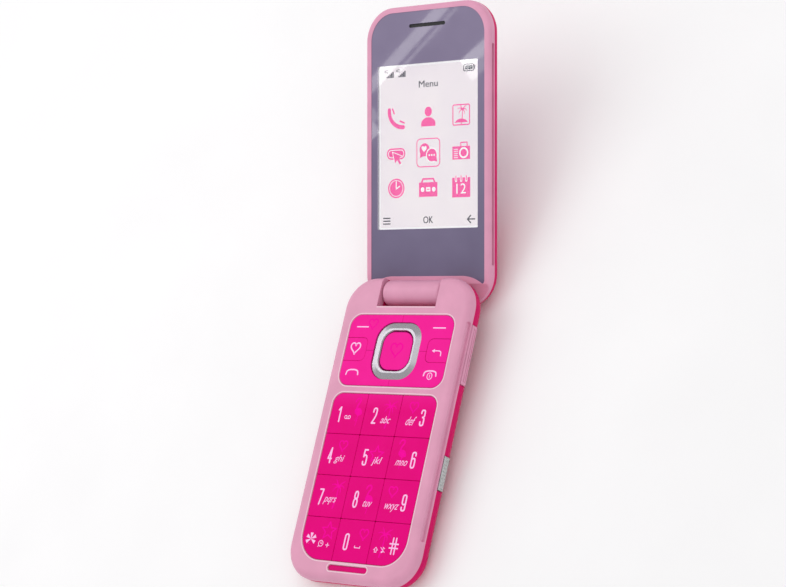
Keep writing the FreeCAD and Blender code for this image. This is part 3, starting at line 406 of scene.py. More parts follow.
def ring_metal():
    """Satin plated metal with fine turning marks."""
    finish = Finish("ring_metal")
    marks = finish.noise(0.5, 6.0, (1, 12, 1))
    finish.colour(marks, linear(160, 157, 163), linear(180, 177, 183))
    finish.roughness(marks, 0.2, 0.34)
    finish.bump(marks, 0.004, 0.3)
    return finish.set(Metallic=1.0).material


def side_key_metal():
    finish = Finish("side_key_metal")
    marks = finish.noise(0.4, 4.0)
    finish.colour(marks, linear(172, 178, 177), linear(206, 212, 211))
    finish.roughness(marks, 0.22, 0.4)
    finish.bump(finish.cells(0.35), 0.03, 0.4)
    return finish.set(Metallic=0.9).material


def pink_silicone():
    finish = moulded("pink_silicone", linear(222, 3, 116), 0.6, 0.3, 0.01)
    return finish.set(Specular_IOR_Level=0.1).material


def window_glass():
    """Purple-grey print under polished glass, with painted light: lighter towards the far end of the lid."""
    finish = Finish("window_glass")
    near = finish.tone(finish.noise(14.0, 2.0), linear(101, 92, 122), linear(107, 98, 128))
    far = finish.tone(finish.noise(14.0, 2.0), linear(128, 117, 146), linear(134, 123, 152))
    # Painted light: the print is painted lighter towards the far end of the lid.
    finish.blend(finish.along(*WINDOW_PAINTED_LIGHT_NEAR_TO_FAR), near, far)
    finish.roughness(finish.noise(3.0, 3.0), 0.02, 0.04)
    finish.bump(finish.noise(16.0, 1.0), 0.004, 0.1)
    return finish.set(IOR=1.5).material


def window_clear():
    finish = Finish("window_clear")
    finish.colour(finish.noise(20.0, 2.0), linear(250, 249, 252), linear(255, 255, 255))
    finish.roughness(finish.noise(4.0, 3.0), 0.01, 0.03)
    return finish.set(Transmission_Weight=1.0, IOR=1.45).material


def cover_mirror():
    finish = Finish("cover_mirror")
    finish.colour(finish.noise(18.0, 3.0), linear(214, 170, 190), linear(226, 184, 202))
    finish.roughness(finish.noise(2.0, 5.0), 0.03, 0.08)
    return finish.set(Metallic=0.85, Coat_Weight=0.5, Coat_Roughness=0.02).material


def display_panel():
    finish = Finish("display_panel")
    finish.colour(finish.stripes(0.19, "X"), linear(20, 20, 26), linear(34, 34, 42))
    finish.roughness(finish.noise(3.0), 0.12, 0.2)
    return finish.material


def board_green():
    """Circuit board: solder mask with faint tracks."""
    finish = Finish("board_green")
    finish.colour(finish.cells(1.6), linear(14, 84, 48), linear(40, 128, 78))
    finish.roughness(finish.noise(0.8), 0.3, 0.45)
    return finish.bump(finish.cells(1.6), 0.03, 0.4).material


def brushed(name, colour, rough, stretch):
    finish = Finish(name)
    marks = finish.noise(0.6, 5.0, stretch)
    finish.colour(marks, shade(colour, 0.85), shade(colour, 1.1))
    finish.roughness(marks, rough - 0.06, rough + 0.1)
    finish.bump(marks, 0.004, 0.4)
    return finish.set(Metallic=1.0).material


def lens_glass():
    finish = Finish("lens_glass")
    finish.colour(finish.noise(1.0, 2.0), linear(12, 12, 20), linear(34, 26, 60))
    finish.roughness(finish.noise(1.0), 0.02, 0.05)
    return finish.set(Coat_Weight=1.0, Coat_Roughness=0.01).material


def flash_window():
    finish = Finish("flash_window")
    finish.colour(finish.cells(0.3), linear(238, 226, 180), linear(250, 244, 214))
    finish.roughness(finish.noise(0.4), 0.1, 0.2)
    return finish.bump(finish.cells(0.3), 0.04, 0.6).material


def battery_wrap():
    return moulded("battery_wrap", linear(92, 92, 96), 0.45, 0.5, 0.01, 0.08).material


def black_plastic():
    return moulded("black_plastic", linear(34, 33, 36), 0.55, 0.15, 0.01, 0.15).material


CAD_FINISHES = {
    "light_pink_plastic": light_pink_plastic,
    "hot_pink_plastic": hot_pink_plastic,
    "key_pink_plastic": key_pink_plastic,
    "ring_metal": ring_metal,
    "side_key_metal": side_key_metal,
    "pink_silicone": pink_silicone,
    "window_glass": window_glass,
    "cover_mirror": cover_mirror,
    "display_panel": display_panel,
    "board_green": board_green,
    "steel": lambda: brushed("steel", linear(190, 190, 192), 0.3, (1, 10, 1)),
    "aluminium_plate": lambda: brushed("aluminium_plate", linear(206, 206, 210), 0.38, (8, 1, 1)),
    "black_plastic": black_plastic,
    "battery_wrap": battery_wrap,
    "lens_glass": lens_glass,
    "flash_window": flash_window,
    "brass_contact": lambda: brushed("brass_contact", linear(214, 176, 96), 0.28, (1, 6, 1)),
}


def ink(name, colour, rough=0.4, shine=0.5):
    """Printed ink: slightly uneven in tone and gloss."""
    finish = Finish(name)
    finish.colour(finish.noise(0.8, 4.0), shade(colour, 0.95), shade(colour, 1.05))
    finish.roughness(finish.noise(0.5), rough - 0.05, rough + 0.08)
    finish.set(Specular_IOR_Level=shine)
    return finish.bump(finish.noise(0.1), 0.002, 0.3).material


def lit(name, colour):
    """A lit part of the screen, with the fine stripes of its pixels."""
    finish = Finish(name)
    finish.set(Base_Color=shade(colour, 0.35), Roughness=0.5, Specular_IOR_Level=0.0)
    finish.colour(finish.stripes(0.19, "X"), shade(colour, 0.985), shade(colour, 1.0), "Emission Color")
    return finish.set(Emission_Strength=SCREEN_GLOW).material


def dress_cad_nodes():
    """Give every carried-over node the finish that its record slot names."""
    made = {slot: build() for slot, build in CAD_FINISHES.items()}
    for node in frame["nodes"].values():
        for index in range(len(node.data.materials)):
            slot = node.data.materials[index].name.split(".")[0]
            node.material_slots[index].material = made[slot]
    return made


FINISHES = dress_cad_nodes()
LEGEND_INK = ink("legend_ink", linear(255, 192, 238), 0.35)
MOTIF_INK = ink("motif_ink", linear(248, 10, 158), 0.3, 0.02)


# ---------------------------------------------------------------- lettering

DIGIT_WIDTH = 1.95
DIGIT_HEIGHT = 5.75
DIGIT_STROKE = 0.56

# Centre lines of the digits in a unit box. A line marked True is closed.
TWO_TOP = [(0, 0.76), (0.02, 0.9), (0.22, 1), (0.78, 1), (0.98, 0.9), (1, 0.74), (0.9, 0.52), (0.5, 0.25)]
THREE_TOP = [(0, 0.8), (0.03, 0.93), (0.24, 1), (0.76, 1), (0.97, 0.92), (1, 0.75), (0.94, 0.6)]
THREE_TOP += [(0.5, 0.53)]
THREE_LOW = [(0.5, 0.53), (0.94, 0.46), (1, 0.26), (0.97, 0.08), (0.76, 0), (0.24, 0), (0.03, 0.08)]
THREE_LOW += [(0, 0.22)]
FIVE_LOW = [(0.02, 0.54), (0.3, 0.64), (0.76, 0.62), (0.98, 0.5), (1, 0.2), (0.95, 0.06), (0.74, 0)]
FIVE_LOW += [(0.26, 0), (0.05, 0.06), (0, 0.2)]
SIX_STEM = [(1, 0.8), (0.97, 0.93), (0.76, 1), (0.26, 1), (0.03, 0.92), (0, 0.74), (0, 0.3)]
SIX_LOOP = [(0, 0.2), (0, 0.42), (0.06, 0.54), (0.3, 0.6), (0.7, 0.6), (0.94, 0.54)]
SIX_LOOP += [(1, 0.42), (1, 0.2), (0.94, 0.06), (0.7, 0), (0.3, 0), (0.06, 0.06)]
ZERO = [(0, 0.2), (0, 0.8), (0.06, 0.94), (0.3, 1), (0.7, 1), (0.94, 0.94)]
ZERO += [(1, 0.8), (1, 0.2), (0.94, 0.06), (0.7, 0), (0.3, 0), (0.06, 0.06)]
EIGHT_TOP = [(0.06, 0.66), (0.06, 0.86), (0.28, 1), (0.72, 1), (0.94, 0.86), (0.94, 0.66)]
EIGHT_TOP += [(0.7, 0.54), (0.3, 0.54)]
EIGHT_LOW = [(0, 0.16), (0, 0.38), (0.26, 0.54), (0.74, 0.54), (1, 0.38), (1, 0.16), (0.74, 0), (0.26, 0)]
DIGITS = {
    "1": [([(0.1, 0.8), (0.62, 1)], False), ([(0.62, 1), (0.62, 0)], False)],
    "2": [(TWO_TOP, False), ([(0.5, 0.25), (0, 0)], False), ([(0, 0), (1, 0)], False)],
    "3": [(THREE_TOP, False), (THREE_LOW, False)],
    "4": [([(0.7, 1), (0, 0.28)], False), ([(0, 0.28), (1, 0.28)], False), ([(0.7, 1), (0.7, 0)], False)],
    "5": [([(0.95, 1), (0.06, 1)], False), ([(0.06, 1), (0.02, 0.54)], False), (FIVE_LOW, False)],
    "6": [(SIX_STEM, False), (SIX_LOOP, True)],
    "7": [([(0, 1), (1, 1)], False), ([(1, 1), (0.3, 0)], False)],
    "8": [(EIGHT_TOP, True), (EIGHT_LOW, True)],
    "9": [([(1 - x, 1 - y) for x, y in SIX_STEM], False), ([(1 - x, 1 - y) for x, y in SIX_LOOP], True)],
    "0": [(ZERO, True)],
}


def digit(sign, x, y):
    """Outline groups of one tall narrow digit, centred at x and y."""
    groups = []
    wide = DIGIT_WIDTH - DIGIT_STROKE
    high = DIGIT_HEIGHT - DIGIT_STROKE
    for points, closed in DIGITS[sign]:
        placed = [(x + (u - 0.5) * wide, y + (v - 0.5) * high) for u, v in points]
        if closed:
            groups.append(loop(smooth(placed, 5, True), DIGIT_STROKE))
        elif len(placed) > 2:
            groups.append(line(smooth(placed, 5), DIGIT_STROKE))
        else:
            groups.append(line(placed, DIGIT_STROKE))
    return groups


def asterisk(x, y):
    """Three crossed strokes, pinched in the middle."""
    reach = 2.15
    flare = 0.3
    groups = []
    for turn in (90, 30, 150):
        dx = reach * math.cos(math.radians(turn))
        dy = reach * math.sin(math.radians(turn))
        back_end = [(x - dx - dy * flare, y - dy + dx * flare), (x - dx + dy * flare, y - dy - dx * flare)]
        front_end = [(x + dx + dy * flare, y + dy - dx * flare), (x + dx - dy * flare, y + dy + dx * flare)]
        groups.append([back_end + [(x, y)] + front_end + [(x, y)]])
    return groups


def hash_sign(x, y):
    half_width, half_height, stroke = 1.7, 2.7, 0.5
    strokes = []
    for side in (-0.62, 0.62):
        level = y + side * 1.15
        strokes.append(line([(x + side, y - half_height), (x + side, y + half_height)], stroke))
        strokes.append(line([(x - half_width, level), (x + half_width, level)], stroke))
    return strokes


def text_groups(words, x, y, width, height, lean=0.0, weight=0.0):
    """Outline groups of a word in the built-in font, fitted to a box centred at x and y."""
    data = bpy.data.curves.new("word", "FONT")
    data.body = words
    data.offset = weight
    data.resolution_u = 4
    data.fill_mode = "NONE"
    holder = bpy.data.objects.new("word", data)
    bpy.context.scene.collection.objects.link(holder)
    bpy.context.view_layer.update()
    flat = bpy.data.meshes.new_from_object(holder.evaluated_get(bpy.context.evaluated_depsgraph_get()))
    outlines = chained(flat)
    bpy.data.objects.remove(holder)
    bpy.data.curves.remove(data)
    bpy.data.meshes.remove(flat)
    xs = [point[0] for outline in outlines for point in outline]
    ys = [point[1] for outline in outlines for point in outline]
    wide, high = max(xs) - min(xs), max(ys) - min(ys)
    scale_x = (width - lean * height) / wide
    scale_y = height / high
    placed = []
    for outline in outlines:
        points = []
        for u, v in outline:
            up = (v - min(ys)) * scale_y - height / 2
            points.append((x + (u - min(xs) - wide / 2) * scale_x + lean * up, y + up))
        placed.append(points)
    return grouped(placed)


def chained(flat):
    """Closed outlines from a mesh that has only edges."""
    neighbours = {}
    for edge in flat.edges:
        first, second = edge.vertices
        neighbours.setdefault(first, []).append(second)
        neighbours.setdefault(second, []).append(first)
    seen, outlines = set(), []
    for start in neighbours:
        if start in seen:
            continue
        outline, here = [], start
        while here is not None:
            seen.add(here)
            outline.append(tuple(flat.vertices[here].co[:2]))
            here = next((other for other in neighbours[here] if other not in seen), None)
        outlines.append(outline)
    return outlines


def inside(point, outline):
    """Whether a point lies within a closed outline."""
    crossings = 0
    for (x0, y0), (x1, y1) in zip(outline, outline[1:] + outline[:1]):
        if (y0 > point[1]) != (y1 > point[1]):
            if point[0] < x0 + (point[1] - y0) * (x1 - x0) / (y1 - y0):
                crossings += 1
    return crossings % 2 == 1


def grouped(outlines):
    """Put each hole with the outline around it."""
    outers = [o for o in outlines if not any(inside(o[0], other) for other in outlines if other is not o)]
    groups = []
    for outer in outers:
        holes = [o for o in outlines if o is not outer and inside(o[0], outer)]
        groups.append([outer] + holes)
    return groups


# ---------------------------------------------------------------- key prints

# Centres of the key columns and rows, and how far the prints stand from them.
COLUMNS = (-14.8, 0.0, 14.8)
ROWS = (-45.65, -60.35, -75.05, -89.75)
DIGIT_OFFSETS = (-3.3, -2.85, 2.7)
DIGIT_DROP = 0.42
WORD_OFFSETS = (0.95, 2.35, -1.9)
WORD_DROP = 1.25

# Key, large sign and small word, row by row.
PAD = (
    (("key_1", "1", ""), ("key_2", "2", "abc"), ("key_3", "3", "def")),
    (("key_4", "4", "ghi"), ("key_5", "5", "jkl"), ("key_6", "6", "mno")),
    (("key_7", "7", "pqrs"), ("key_8", "8", "tuv"), ("key_9", "9", "wxyz")),
    (("key_star", "*", ""), ("key_0", "0", ""), ("key_hash", "#", "")),
)
WORD_SIZES = {
    "abc": (4.7, 2.5), "def": (4.5, 3.1), "ghi": (4.6, 3.1), "jkl": (4.4, 3.2),
    "mno": (5.3, 1.8), "pqrs": (5.7, 2.6), "tuv": (4.3, 2.1), "wxyz": (6.7, 2.7),
}
WORD_SHIFTS = {"wxyz": (-0.5, -0.8)}


def one_key_signs():
    """Two rings on a line, for voice mail, beside the one."""
    x = COLUMNS[0] + 0.4
    y = ROWS[0] - DIGIT_DROP - 0.9
    rings = [loop(ellipse(x + side, y, 0.5, 0.55, 20), 0.26) for side in (-0.75, 0.75)]
    return rings + [line([(x - 0.7, y - 0.55), (x + 0.7, y - 0.55)], 0.24)]


def star_key_signs():
    """Clock bubble and plus beside the star."""
    x, y = -13.5, -91.5
    bubble = loop(ellipse(x, y, 0.95, 1.0, 24), 0.26)
    hands = line([(x, y + 0.5), (x, y), (x + 0.4, y)], 0.24)
    tail = line([(x - 0.75, y - 0.75), (x - 1.0, y - 1.2)], 0.24)
    plus = [line([(-11.2, -91.9), (-9.9, -91.9)], 0.28), line([(-10.55, -91.25), (-10.55, -92.55)], 0.28)]
    return [bubble, hands, tail] + plus


def zero_key_signs():
    """Space sign beside the zero."""
    return [line([(1.1, -91.3), (1.1, -91.9), (3.3, -91.9), (3.3, -91.3)], 0.28)]


def hash_key_signs():
    """Up arrow and crossed-out note beside the hash sign."""
    x, y = 10.1, -91.95
    arrow = [(x - 0.35, y - 0.8), (x + 0.35, y - 0.8), (x + 0.35, y), (x + 0.8, y), (x, y + 0.85),
             (x - 0.8, y), (x - 0.35, y)]
    stem = line([(13.1, -92.5), (13.1, -90.9), (13.7, -91.3)], 0.24)
    head = [ellipse(12.8, -92.5, 0.36, 0.28, 16)]
    cross = line([(12.1, -91.0), (13.9, -92.6)], 0.2)
    return [loop(arrow, 0.24), stem, head, cross]


EXTRA_SIGNS = {
    "key_1": one_key_signs,
    "key_star": star_key_signs,
    "key_0": zero_key_signs,
    "key_hash": hash_key_signs,
}


def print_legend(key, groups):
    layers = [(LEGEND_INK, groups)]
    printed("legend_" + key, BASE, key, layers, KEY_TOP, PRINT_THICKNESS)


def print_number_keys():
    for row, entries in enumerate(PAD):
        for column, (key, sign, word) in enumerate(entries):
            x = COLUMNS[column] + DIGIT_OFFSETS[column]
            y = ROWS[row] - DIGIT_DROP
            if sign == "*":
                groups = asterisk(x - 0.04, y - 0.1)
            elif sign == "#":
                groups = hash_sign(x - 0.3, y)
            else:
                groups = digit(sign, x, y)
            if word:
                right, up = WORD_SHIFTS.get(word, (0, 0))
                spot = (COLUMNS[column] + WORD_OFFSETS[column] + right, y - WORD_DROP + up)
                groups += text_groups(word, *spot, *WORD_SIZES[word], lean=0.35, weight=0.012)
            if key in EXTRA_SIGNS:
                groups += EXTRA_SIGNS[key]()
            print_legend(key, groups)


# ---------------------------------------------------------------- key motifs

def flamingo(x, y):
    """A wading bird: S neck, round body and thin crossed legs, about 10 mm tall."""
    neck = smooth([(x - 1.5, y + 3.6), (x - 1.1, y + 4.5), (x - 0.3, y + 4.9), (x + 0.4, y + 4.5),
                   (x + 0.4, y + 3.6), (x - 0.3, y + 2.5), (x - 0.6, y + 1.4), (x - 0.2, y + 0.6)])
    body = smooth([(x - 1.1, y + 1.0), (x + 0.2, y + 1.5), (x + 1.5, y + 0.9), (x + 2.1, y - 0.6),
                   (x + 1.0, y - 1.2), (x - 0.3, y - 1.0), (x - 1.2, y - 0.1)], closed=True)
    legs = [line([(x + 0.4, y - 1.0), (x + 0.5, y - 3.0), (x + 0.1, y - 5.0)], 0.26),
            line([(x + 0.9, y - 1.0), (x - 0.5, y - 3.1), (x + 0.4, y - 3.2)], 0.24)]
    return [line(neck, 0.55, 0.7), [body]] + legs


def palm(x, y, size=1.0):
    """A leaning palm with drooping fronds, about 10 mm tall at full size."""
    crown = (x + 0.1 * size, y + 2.6 * size)
    trunk = smooth([crown, (x + 0.15 * size, y), (x - 0.1 * size, y - 2.4 * size),
                    (x - 0.6 * size, y - 5.0 * size)])
    groups = [line(trunk, 0.36 * size, 0.62 * size)]
    fronds = (((1.5, 1.3), (2.6, 1.9)), ((1.7, 0.2), (2.7, -0.8)), ((1.0, -0.8), (1.3, -2.3)),
              ((-0.9, 1.5), (-1.4, 2.4)), ((-1.6, 0.7), (-2.9, 0.4)), ((-1.3, -0.6), (-2.0, -1.9)))
    for middle, tip in fronds:
        points = [crown, (crown[0] + middle[0] * size, crown[1] + middle[1] * size),
                  (crown[0] + tip[0] * size, crown[1] + tip[1] * size)]
        groups.append(line(smooth(points), 0.62 * size, 0.2 * size))
    return groups


def heart_line(x, y, width=4.0, height=4.2, stroke=0.5):
    """Outline heart, centred at x and y, of a given overall size."""
    return [loop(heart(x, y, width - stroke, height - stroke), stroke)]


MOTIFS = {
    "key_1": lambda: flamingo(-10.6, -45.0),
    "key_2": lambda: palm(3.1, -45.2),
    "key_3": lambda: heart_line(13.0, -42.6),
    "key_4": lambda: heart_line(-13.4, -57.3),
    "key_5": lambda: [loop(star(1.6, -59.6, 3.0), 0.5)],
    "key_6": lambda: flamingo(12.0, -58.9),
    "key_7": lambda: palm(-11.5, -74.1),
    "key_8": lambda: flamingo(2.3, -75.2),
    "key_9": lambda: heart_line(12.0, -72.1),
    "key_star": lambda: [loop(star(-11.3, -87.0, 3.1), 0.5)],
    "key_0": lambda: heart_line(3.9, -87.3),
    "key_hash": lambda: palm(12.6, -89.2),
    "select_key": lambda: heart_line(0.0, -22.5, 5.6, 5.6, 0.55),
    "soft_key_left": lambda: heart_line(-12.4, -13.1, 4.2, 4.2, 0.4),
}


def print_motifs():
    for key, shapes in MOTIFS.items():
        low = SELECT_KEY_TOP if key == "select_key" else KEY_TOP
        layers = [(MOTIF_INK, shapes())]
        printed("motif_" + key, BASE, key, layers, low, MOTIF_THICKNESS)


def print_function_keys():
    """Signs on the keys around the ring."""
    call = smooth([(-19.5, -31.6), (-19.2, -30.4), (-18.2, -29.9), (-16.9, -29.8), (-15.6, -29.9),
                   (-14.6, -30.4), (-14.3, -31.6)])
    end = smooth([(14.0, -31.3), (14.3, -30.1), (15.3, -29.65), (16.6, -29.55), (17.9, -29.65),
                  (18.9, -30.1), (19.2, -31.3)])
    back = smooth([(16.1, -22.4), (18.2, -22.4), (19.1, -22.8), (19.3, -24.1)])
    power = [loop(ellipse(16.6, -31.4, 1.0, 1.15, 24), 0.32), line([(16.6, -31.0), (16.6, -31.8)], 0.3)]
    arrow_head = [[(15.3, -22.4), (16.5, -21.75), (16.5, -23.05)]]
    signs = {
        "soft_key_left": [line([(-19.2, -14.1), (-14.3, -14.1)], 0.42)],
        "soft_key_right": [line([(13.9, -14.2), (18.9, -14.2)], 0.42)],
        "favourite_key": heart_line(-17.9, -22.1, 4.6, 4.6, 0.5),
        "back_key": [line(back, 0.38), arrow_head],
        "call_key": [line(call, 0.5)],
        "end_key": [line(end, 0.5)] + power,
    }
    for key, groups in signs.items():
        print_legend(key, groups)


# ---------------------------------------------------------------- painted highlights round the key windows

# Painted highlights: pale lines where the rounded edges of the openings catch the light.
PAINTED_HIGHLIGHT_WIDTH = 0.32
PAINTED_HIGHLIGHT_OUT = 0.27

# Half width, top, bottom and the radii of the top and bottom corners of the openings in the front shell.
RING_WINDOW = (22.3, -9.6, -35.5, 4.3, 4.3)
PAD_WINDOW = (22.2, -38.3, -97.1, 3.8, 9.0)
MICROPHONE_SLOT = (8.2, -98.35, -100.25, 0.93, 0.93)
NOTCH_EDGE_HIGHLIGHT = [(-12.5, -6.75), (12.5, -6.75)]


def window_outline(x, top, bottom, top_radius, bottom_radius, grow):
    """Outline of a key window moved out by an amount, round at its top and bottom corners."""
    corners = ((-x + bottom_radius, bottom + bottom_radius, bottom_radius, 180),
               (x - bottom_radius, bottom + bottom_radius, bottom_radius, 270),
               (x - top_radius, top - top_radius, top_radius, 0),
               (-x + top_radius, top - top_radius, top_radius, 90))
    points = []
    for across, along, radius, start in corners:
        points += arc(across, along, radius + grow, start, start + 90)
    return points


def print_painted_highlights():
    """Painted highlights: thin pale lines round the openings in the front shell and below the hinge notch,
    where the rounded edges catch the light.
    """
    groups = []
    for opening in (RING_WINDOW, PAD_WINDOW, MICROPHONE_SLOT):
        groups.append([window_outline(*opening, PAINTED_HIGHLIGHT_OUT + PAINTED_HIGHLIGHT_WIDTH), window_outline(*opening, PAINTED_HIGHLIGHT_OUT)])
    groups.append(line(NOTCH_EDGE_HIGHLIGHT, PAINTED_HIGHLIGHT_WIDTH))
    # Pale ink for the painted highlights.
    rim = ink("painted_highlight_line", linear(236, 200, 212), 0.35)
    printed("painted_edge_highlights", BASE, "base", [(rim, groups)], FACE_TOP, PAINTED_HIGHLIGHT_THICKNESS)


# ---------------------------------------------------------------- window and screen

PANE_THICKNESS = 0.35
PANE_GAP = 0.02


def screen_outline(inset, corner):
    """Outline of the screen, moved in by an amount."""
    return rounded(-SCREEN_SIDE + inset, SCREEN_NEAR + inset, SCREEN_SIDE - inset, SCREEN_FAR - inset, corner)


def make_window_border():
    """The tinted window: the CAD pane, cut open over the screen."""
    node = frame["nodes"]["lid_glass"]
    mesh = bmesh.new()
    mesh.from_mesh(node.data)
    bmesh.ops.remove_doubles(mesh, verts=mesh.verts, dist=1e-6)
    mesh.transform((LID @ Matrix.Scale(MM, 4)).inverted())
    border = piece_from(mesh, "window_border", LID, "lid", [FINISHES["window_glass"]])
    cutter_mesh = bmesh.new()
    slab(cutter_mesh, [screen_outline(0, SCREEN_CORNER)], PANEL_TOP - 1, GLASS_TOP + 1, 0)
    cutter = piece_from(cutter_mesh, "window_cutter", LID, "lid", [FINISHES["window_glass"]])
    cut = border.modifiers.new("opening", "BOOLEAN")
    cut.operation = "DIFFERENCE"
    cut.object = cutter
    cut.solver = "EXACT"
    bpy.context.view_layer.update()
    graph = bpy.context.evaluated_depsgraph_get()
    opened = bpy.data.meshes.new_from_object(border.evaluated_get(graph))
    border.modifiers.clear()
    for face in opened.polygons:
        face.use_smooth = False
    border.data = opened
    bpy.data.objects.remove(cutter)
    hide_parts("lid_glass")


def make_window_pane():
    """Clear pane in the opening of the window."""
    mesh = bmesh.new()
    slab(mesh, [screen_outline(PANE_GAP, SCREEN_CORNER)], GLASS_TOP - PANE_THICKNESS, GLASS_TOP, 0)
    piece_from(mesh, "window_pane", LID, "lid", [window_clear()])


SCREEN = lit("screen_background", linear(242, 234, 238))
SCREEN_WHITE = lit("screen_white", linear(255, 254, 255))
SCREEN_PINK = lit("screen_pink", linear(250, 80, 164))
SCREEN_DARK = lit("screen_dark", linear(34, 34, 58))
SCREEN_EDGE = 0.62
SCREEN_LOW = PANEL_TOP + 0.005
SCREEN_THICKNESS = 0.03
ICON_LOW = PANEL_TOP + 0.05


def make_screen():
    """Lit panel with its white edge."""
    whole = screen_outline(0, SCREEN_CORNER)
    field = screen_outline(SCREEN_EDGE, 0.1)
    layers = [(SCREEN_WHITE, [[whole]]), (SCREEN, [[field]])]
    printed("screen_panel", LID, "lid", layers, SCREEN_LOW, SCREEN_THICKNESS)


def icon(name, *layers):
    """Icon on the screen, from layers of a material and its outline groups."""
    printed("icon_" + name, LID, "lid", layers, ICON_LOW, ICON_THICKNESS)


def bar(x0, y0, x1, y1):
    """Plain rectangle, as one outline group."""
    return [[(x0, y0), (x1, y0), (x1, y1), (x0, y1)]]


def handset_icon():
    grip = smooth([(-17.2, 65.0), (-17.1, 63.2), (-16.2, 61.2), (-14.6, 59.7), (-12.8, 58.9),
                   (-11.0, 58.7)])
    upper = line([(-15.75, 65.3), (-15.05, 63.7)], 0.6)
    lower = line([(-12.4, 60.9), (-10.6, 60.2)], 0.6)
    icon("handset", (SCREEN_PINK, [line(grip, 1.45), upper, lower]))


def person_icon():
    shoulders = smooth([(-3.1, 58.5), (-2.9, 60.2), (-1.4, 61.4), (0, 61.6), (1.4, 61.4), (2.9, 60.2),
                        (3.1, 58.5)])
    icon("person", (SCREEN_PINK, [[ellipse(0, 63.6, 1.55, 1.7)], [shoulders]]))


def picture_icon():
    """A framed picture of a palm on a hill."""
    hill = smooth([(11.3, 59.1), (12.6, 60.1), (14.2, 60.4), (16.0, 60.0), (17.0, 59.1)])
    frame_shape = frame_outline(10.42, 58.07, 17.92, 65.45, 0.8, 0.42)
    icon("picture", (SCREEN_PINK, [frame_shape, [hill]] + palm(14.6, 61.8, 0.7)))


def press_icon():
    """A wide button with a pointer over it."""
    pill = [rounded(-18.3, 47.4, -10.1, 51.4, 1.95)]
    groove = frame_outline(-17.75, 47.95, -10.65, 50.85, 1.4, 0.28)
    pointer = [(-15.6, 49.9), (-11.7, 48.5), (-13.0, 47.75), (-11.8, 46.0), (-12.6, 45.5), (-13.7, 47.2),
               (-14.6, 46.0)]
    halo = [(x + (x + 13.4) * 0.18, y + (y - 47.7) * 0.18) for x, y in pointer]
    icon("press", (SCREEN_PINK, [pill]), (SCREEN_WHITE, [groove, [halo]]), (SCREEN_PINK, [[pointer]]))


def chat_icon():
    """The selected icon: two speech bubbles in a rounded frame."""
    x, y = 1.55, 48.35
    box = frame_outline(-5.16, 44.2, 5.16, 54.34, 1.7, 0.36)
    left = [[ellipse(-1.6, 50.3, 2.2, 2.3)], [[(-3.7, 47.5), (-3.3, 50.0), (-1.4, 48.3)]]]
    rim = [[ellipse(x, y, 2.55, 2.6)]]
    right = [[ellipse(x, y, 2.15, 2.2)], [[(3.9, 46.0), (1.6, 46.4), (3.5, 48.0)]]]
    dots = [[ellipse(x + shift, y, 0.34, 0.36, 16)] for shift in (-1.05, 0, 1.05)]
    icon("chat", (SCREEN_PINK, [box] + left), (SCREEN_WHITE, [[heart(-1.8, 50.5, 2.2, 2.2)]] + rim),
         (SCREEN_PINK, right), (SCREEN_WHITE, dots))


def camera_icon():
    x, y = 15.25, 48.6
    body = bar(10.42, 46.35, 17.92, 50.9)
    finder = frame_outline(13.8, 50.4, 16.9, 52.39, 0.3, 0.42)
    vents = [line([(11.1, 47.0 + 0.72 * row), (12.7, 47.0 + 0.72 * row)], 0.26) for row in range(5)]
    icon("camera", (SCREEN_PINK, [finder, body]), (SCREEN_WHITE, [[ellipse(x, y, 1.95, 1.9)]] + vents),
         (SCREEN_PINK, [[ellipse(x, y, 1.35, 1.3)]]))


def clock_icon():
    x, y = -14.1, 37.2
    ring = loop(ellipse(x, y, 2.95, 2.8), 0.22)
    hands = line([(x, 39.5), (x, 37.0), (-12.6, 37.9)], 0.42)
    icon("clock", (SCREEN_PINK, [[ellipse(x, y, 3.65, 3.46)]]), (SCREEN_WHITE, [ring, hands]))


def radio_icon():
    handle = [[(-3.3, 38.8), (-2.5, 40.39), (2.4, 40.39), (3.2, 38.8)],
              [(-2.5, 38.9), (-2.0, 39.8), (2.0, 39.8), (2.4, 38.9)]]
    knobs = [[ellipse(side, 36.4, 0.78, 0.85)] for side in (-2.45, 2.4)]
    icon("radio", (SCREEN_PINK, [handle, bar(-4.04, 33.87, 3.96, 38.9)]),
         (SCREEN_WHITE, knobs + [bar(-0.95, 35.7, 0.9, 37.2)]),
         (SCREEN_PINK, [bar(-0.6, 36.3, 0.55, 36.6)]))


def calendar_icon():
    places = [11.95 + 2.2 * index for index in range(3)]
    rings = [line([(x, 40.6), (x, 39.2)], 0.42) for x in places]
    holes = [line([(x, 40.2), (x, 39.0)], 0.95) for x in places]
    digits = text_groups("12", 14.15, 36.3, 4.1, 3.5, weight=0.01)
    icon("calendar", (SCREEN_PINK, [bar(10.33, 33.27, 18.01, 40.1)]), (SCREEN_WHITE, holes + digits),
         (SCREEN_PINK, rings))


ICONS = (handset_icon, person_icon, picture_icon, press_icon, chat_icon, camera_icon, clock_icon, radio_icon,
         calendar_icon)


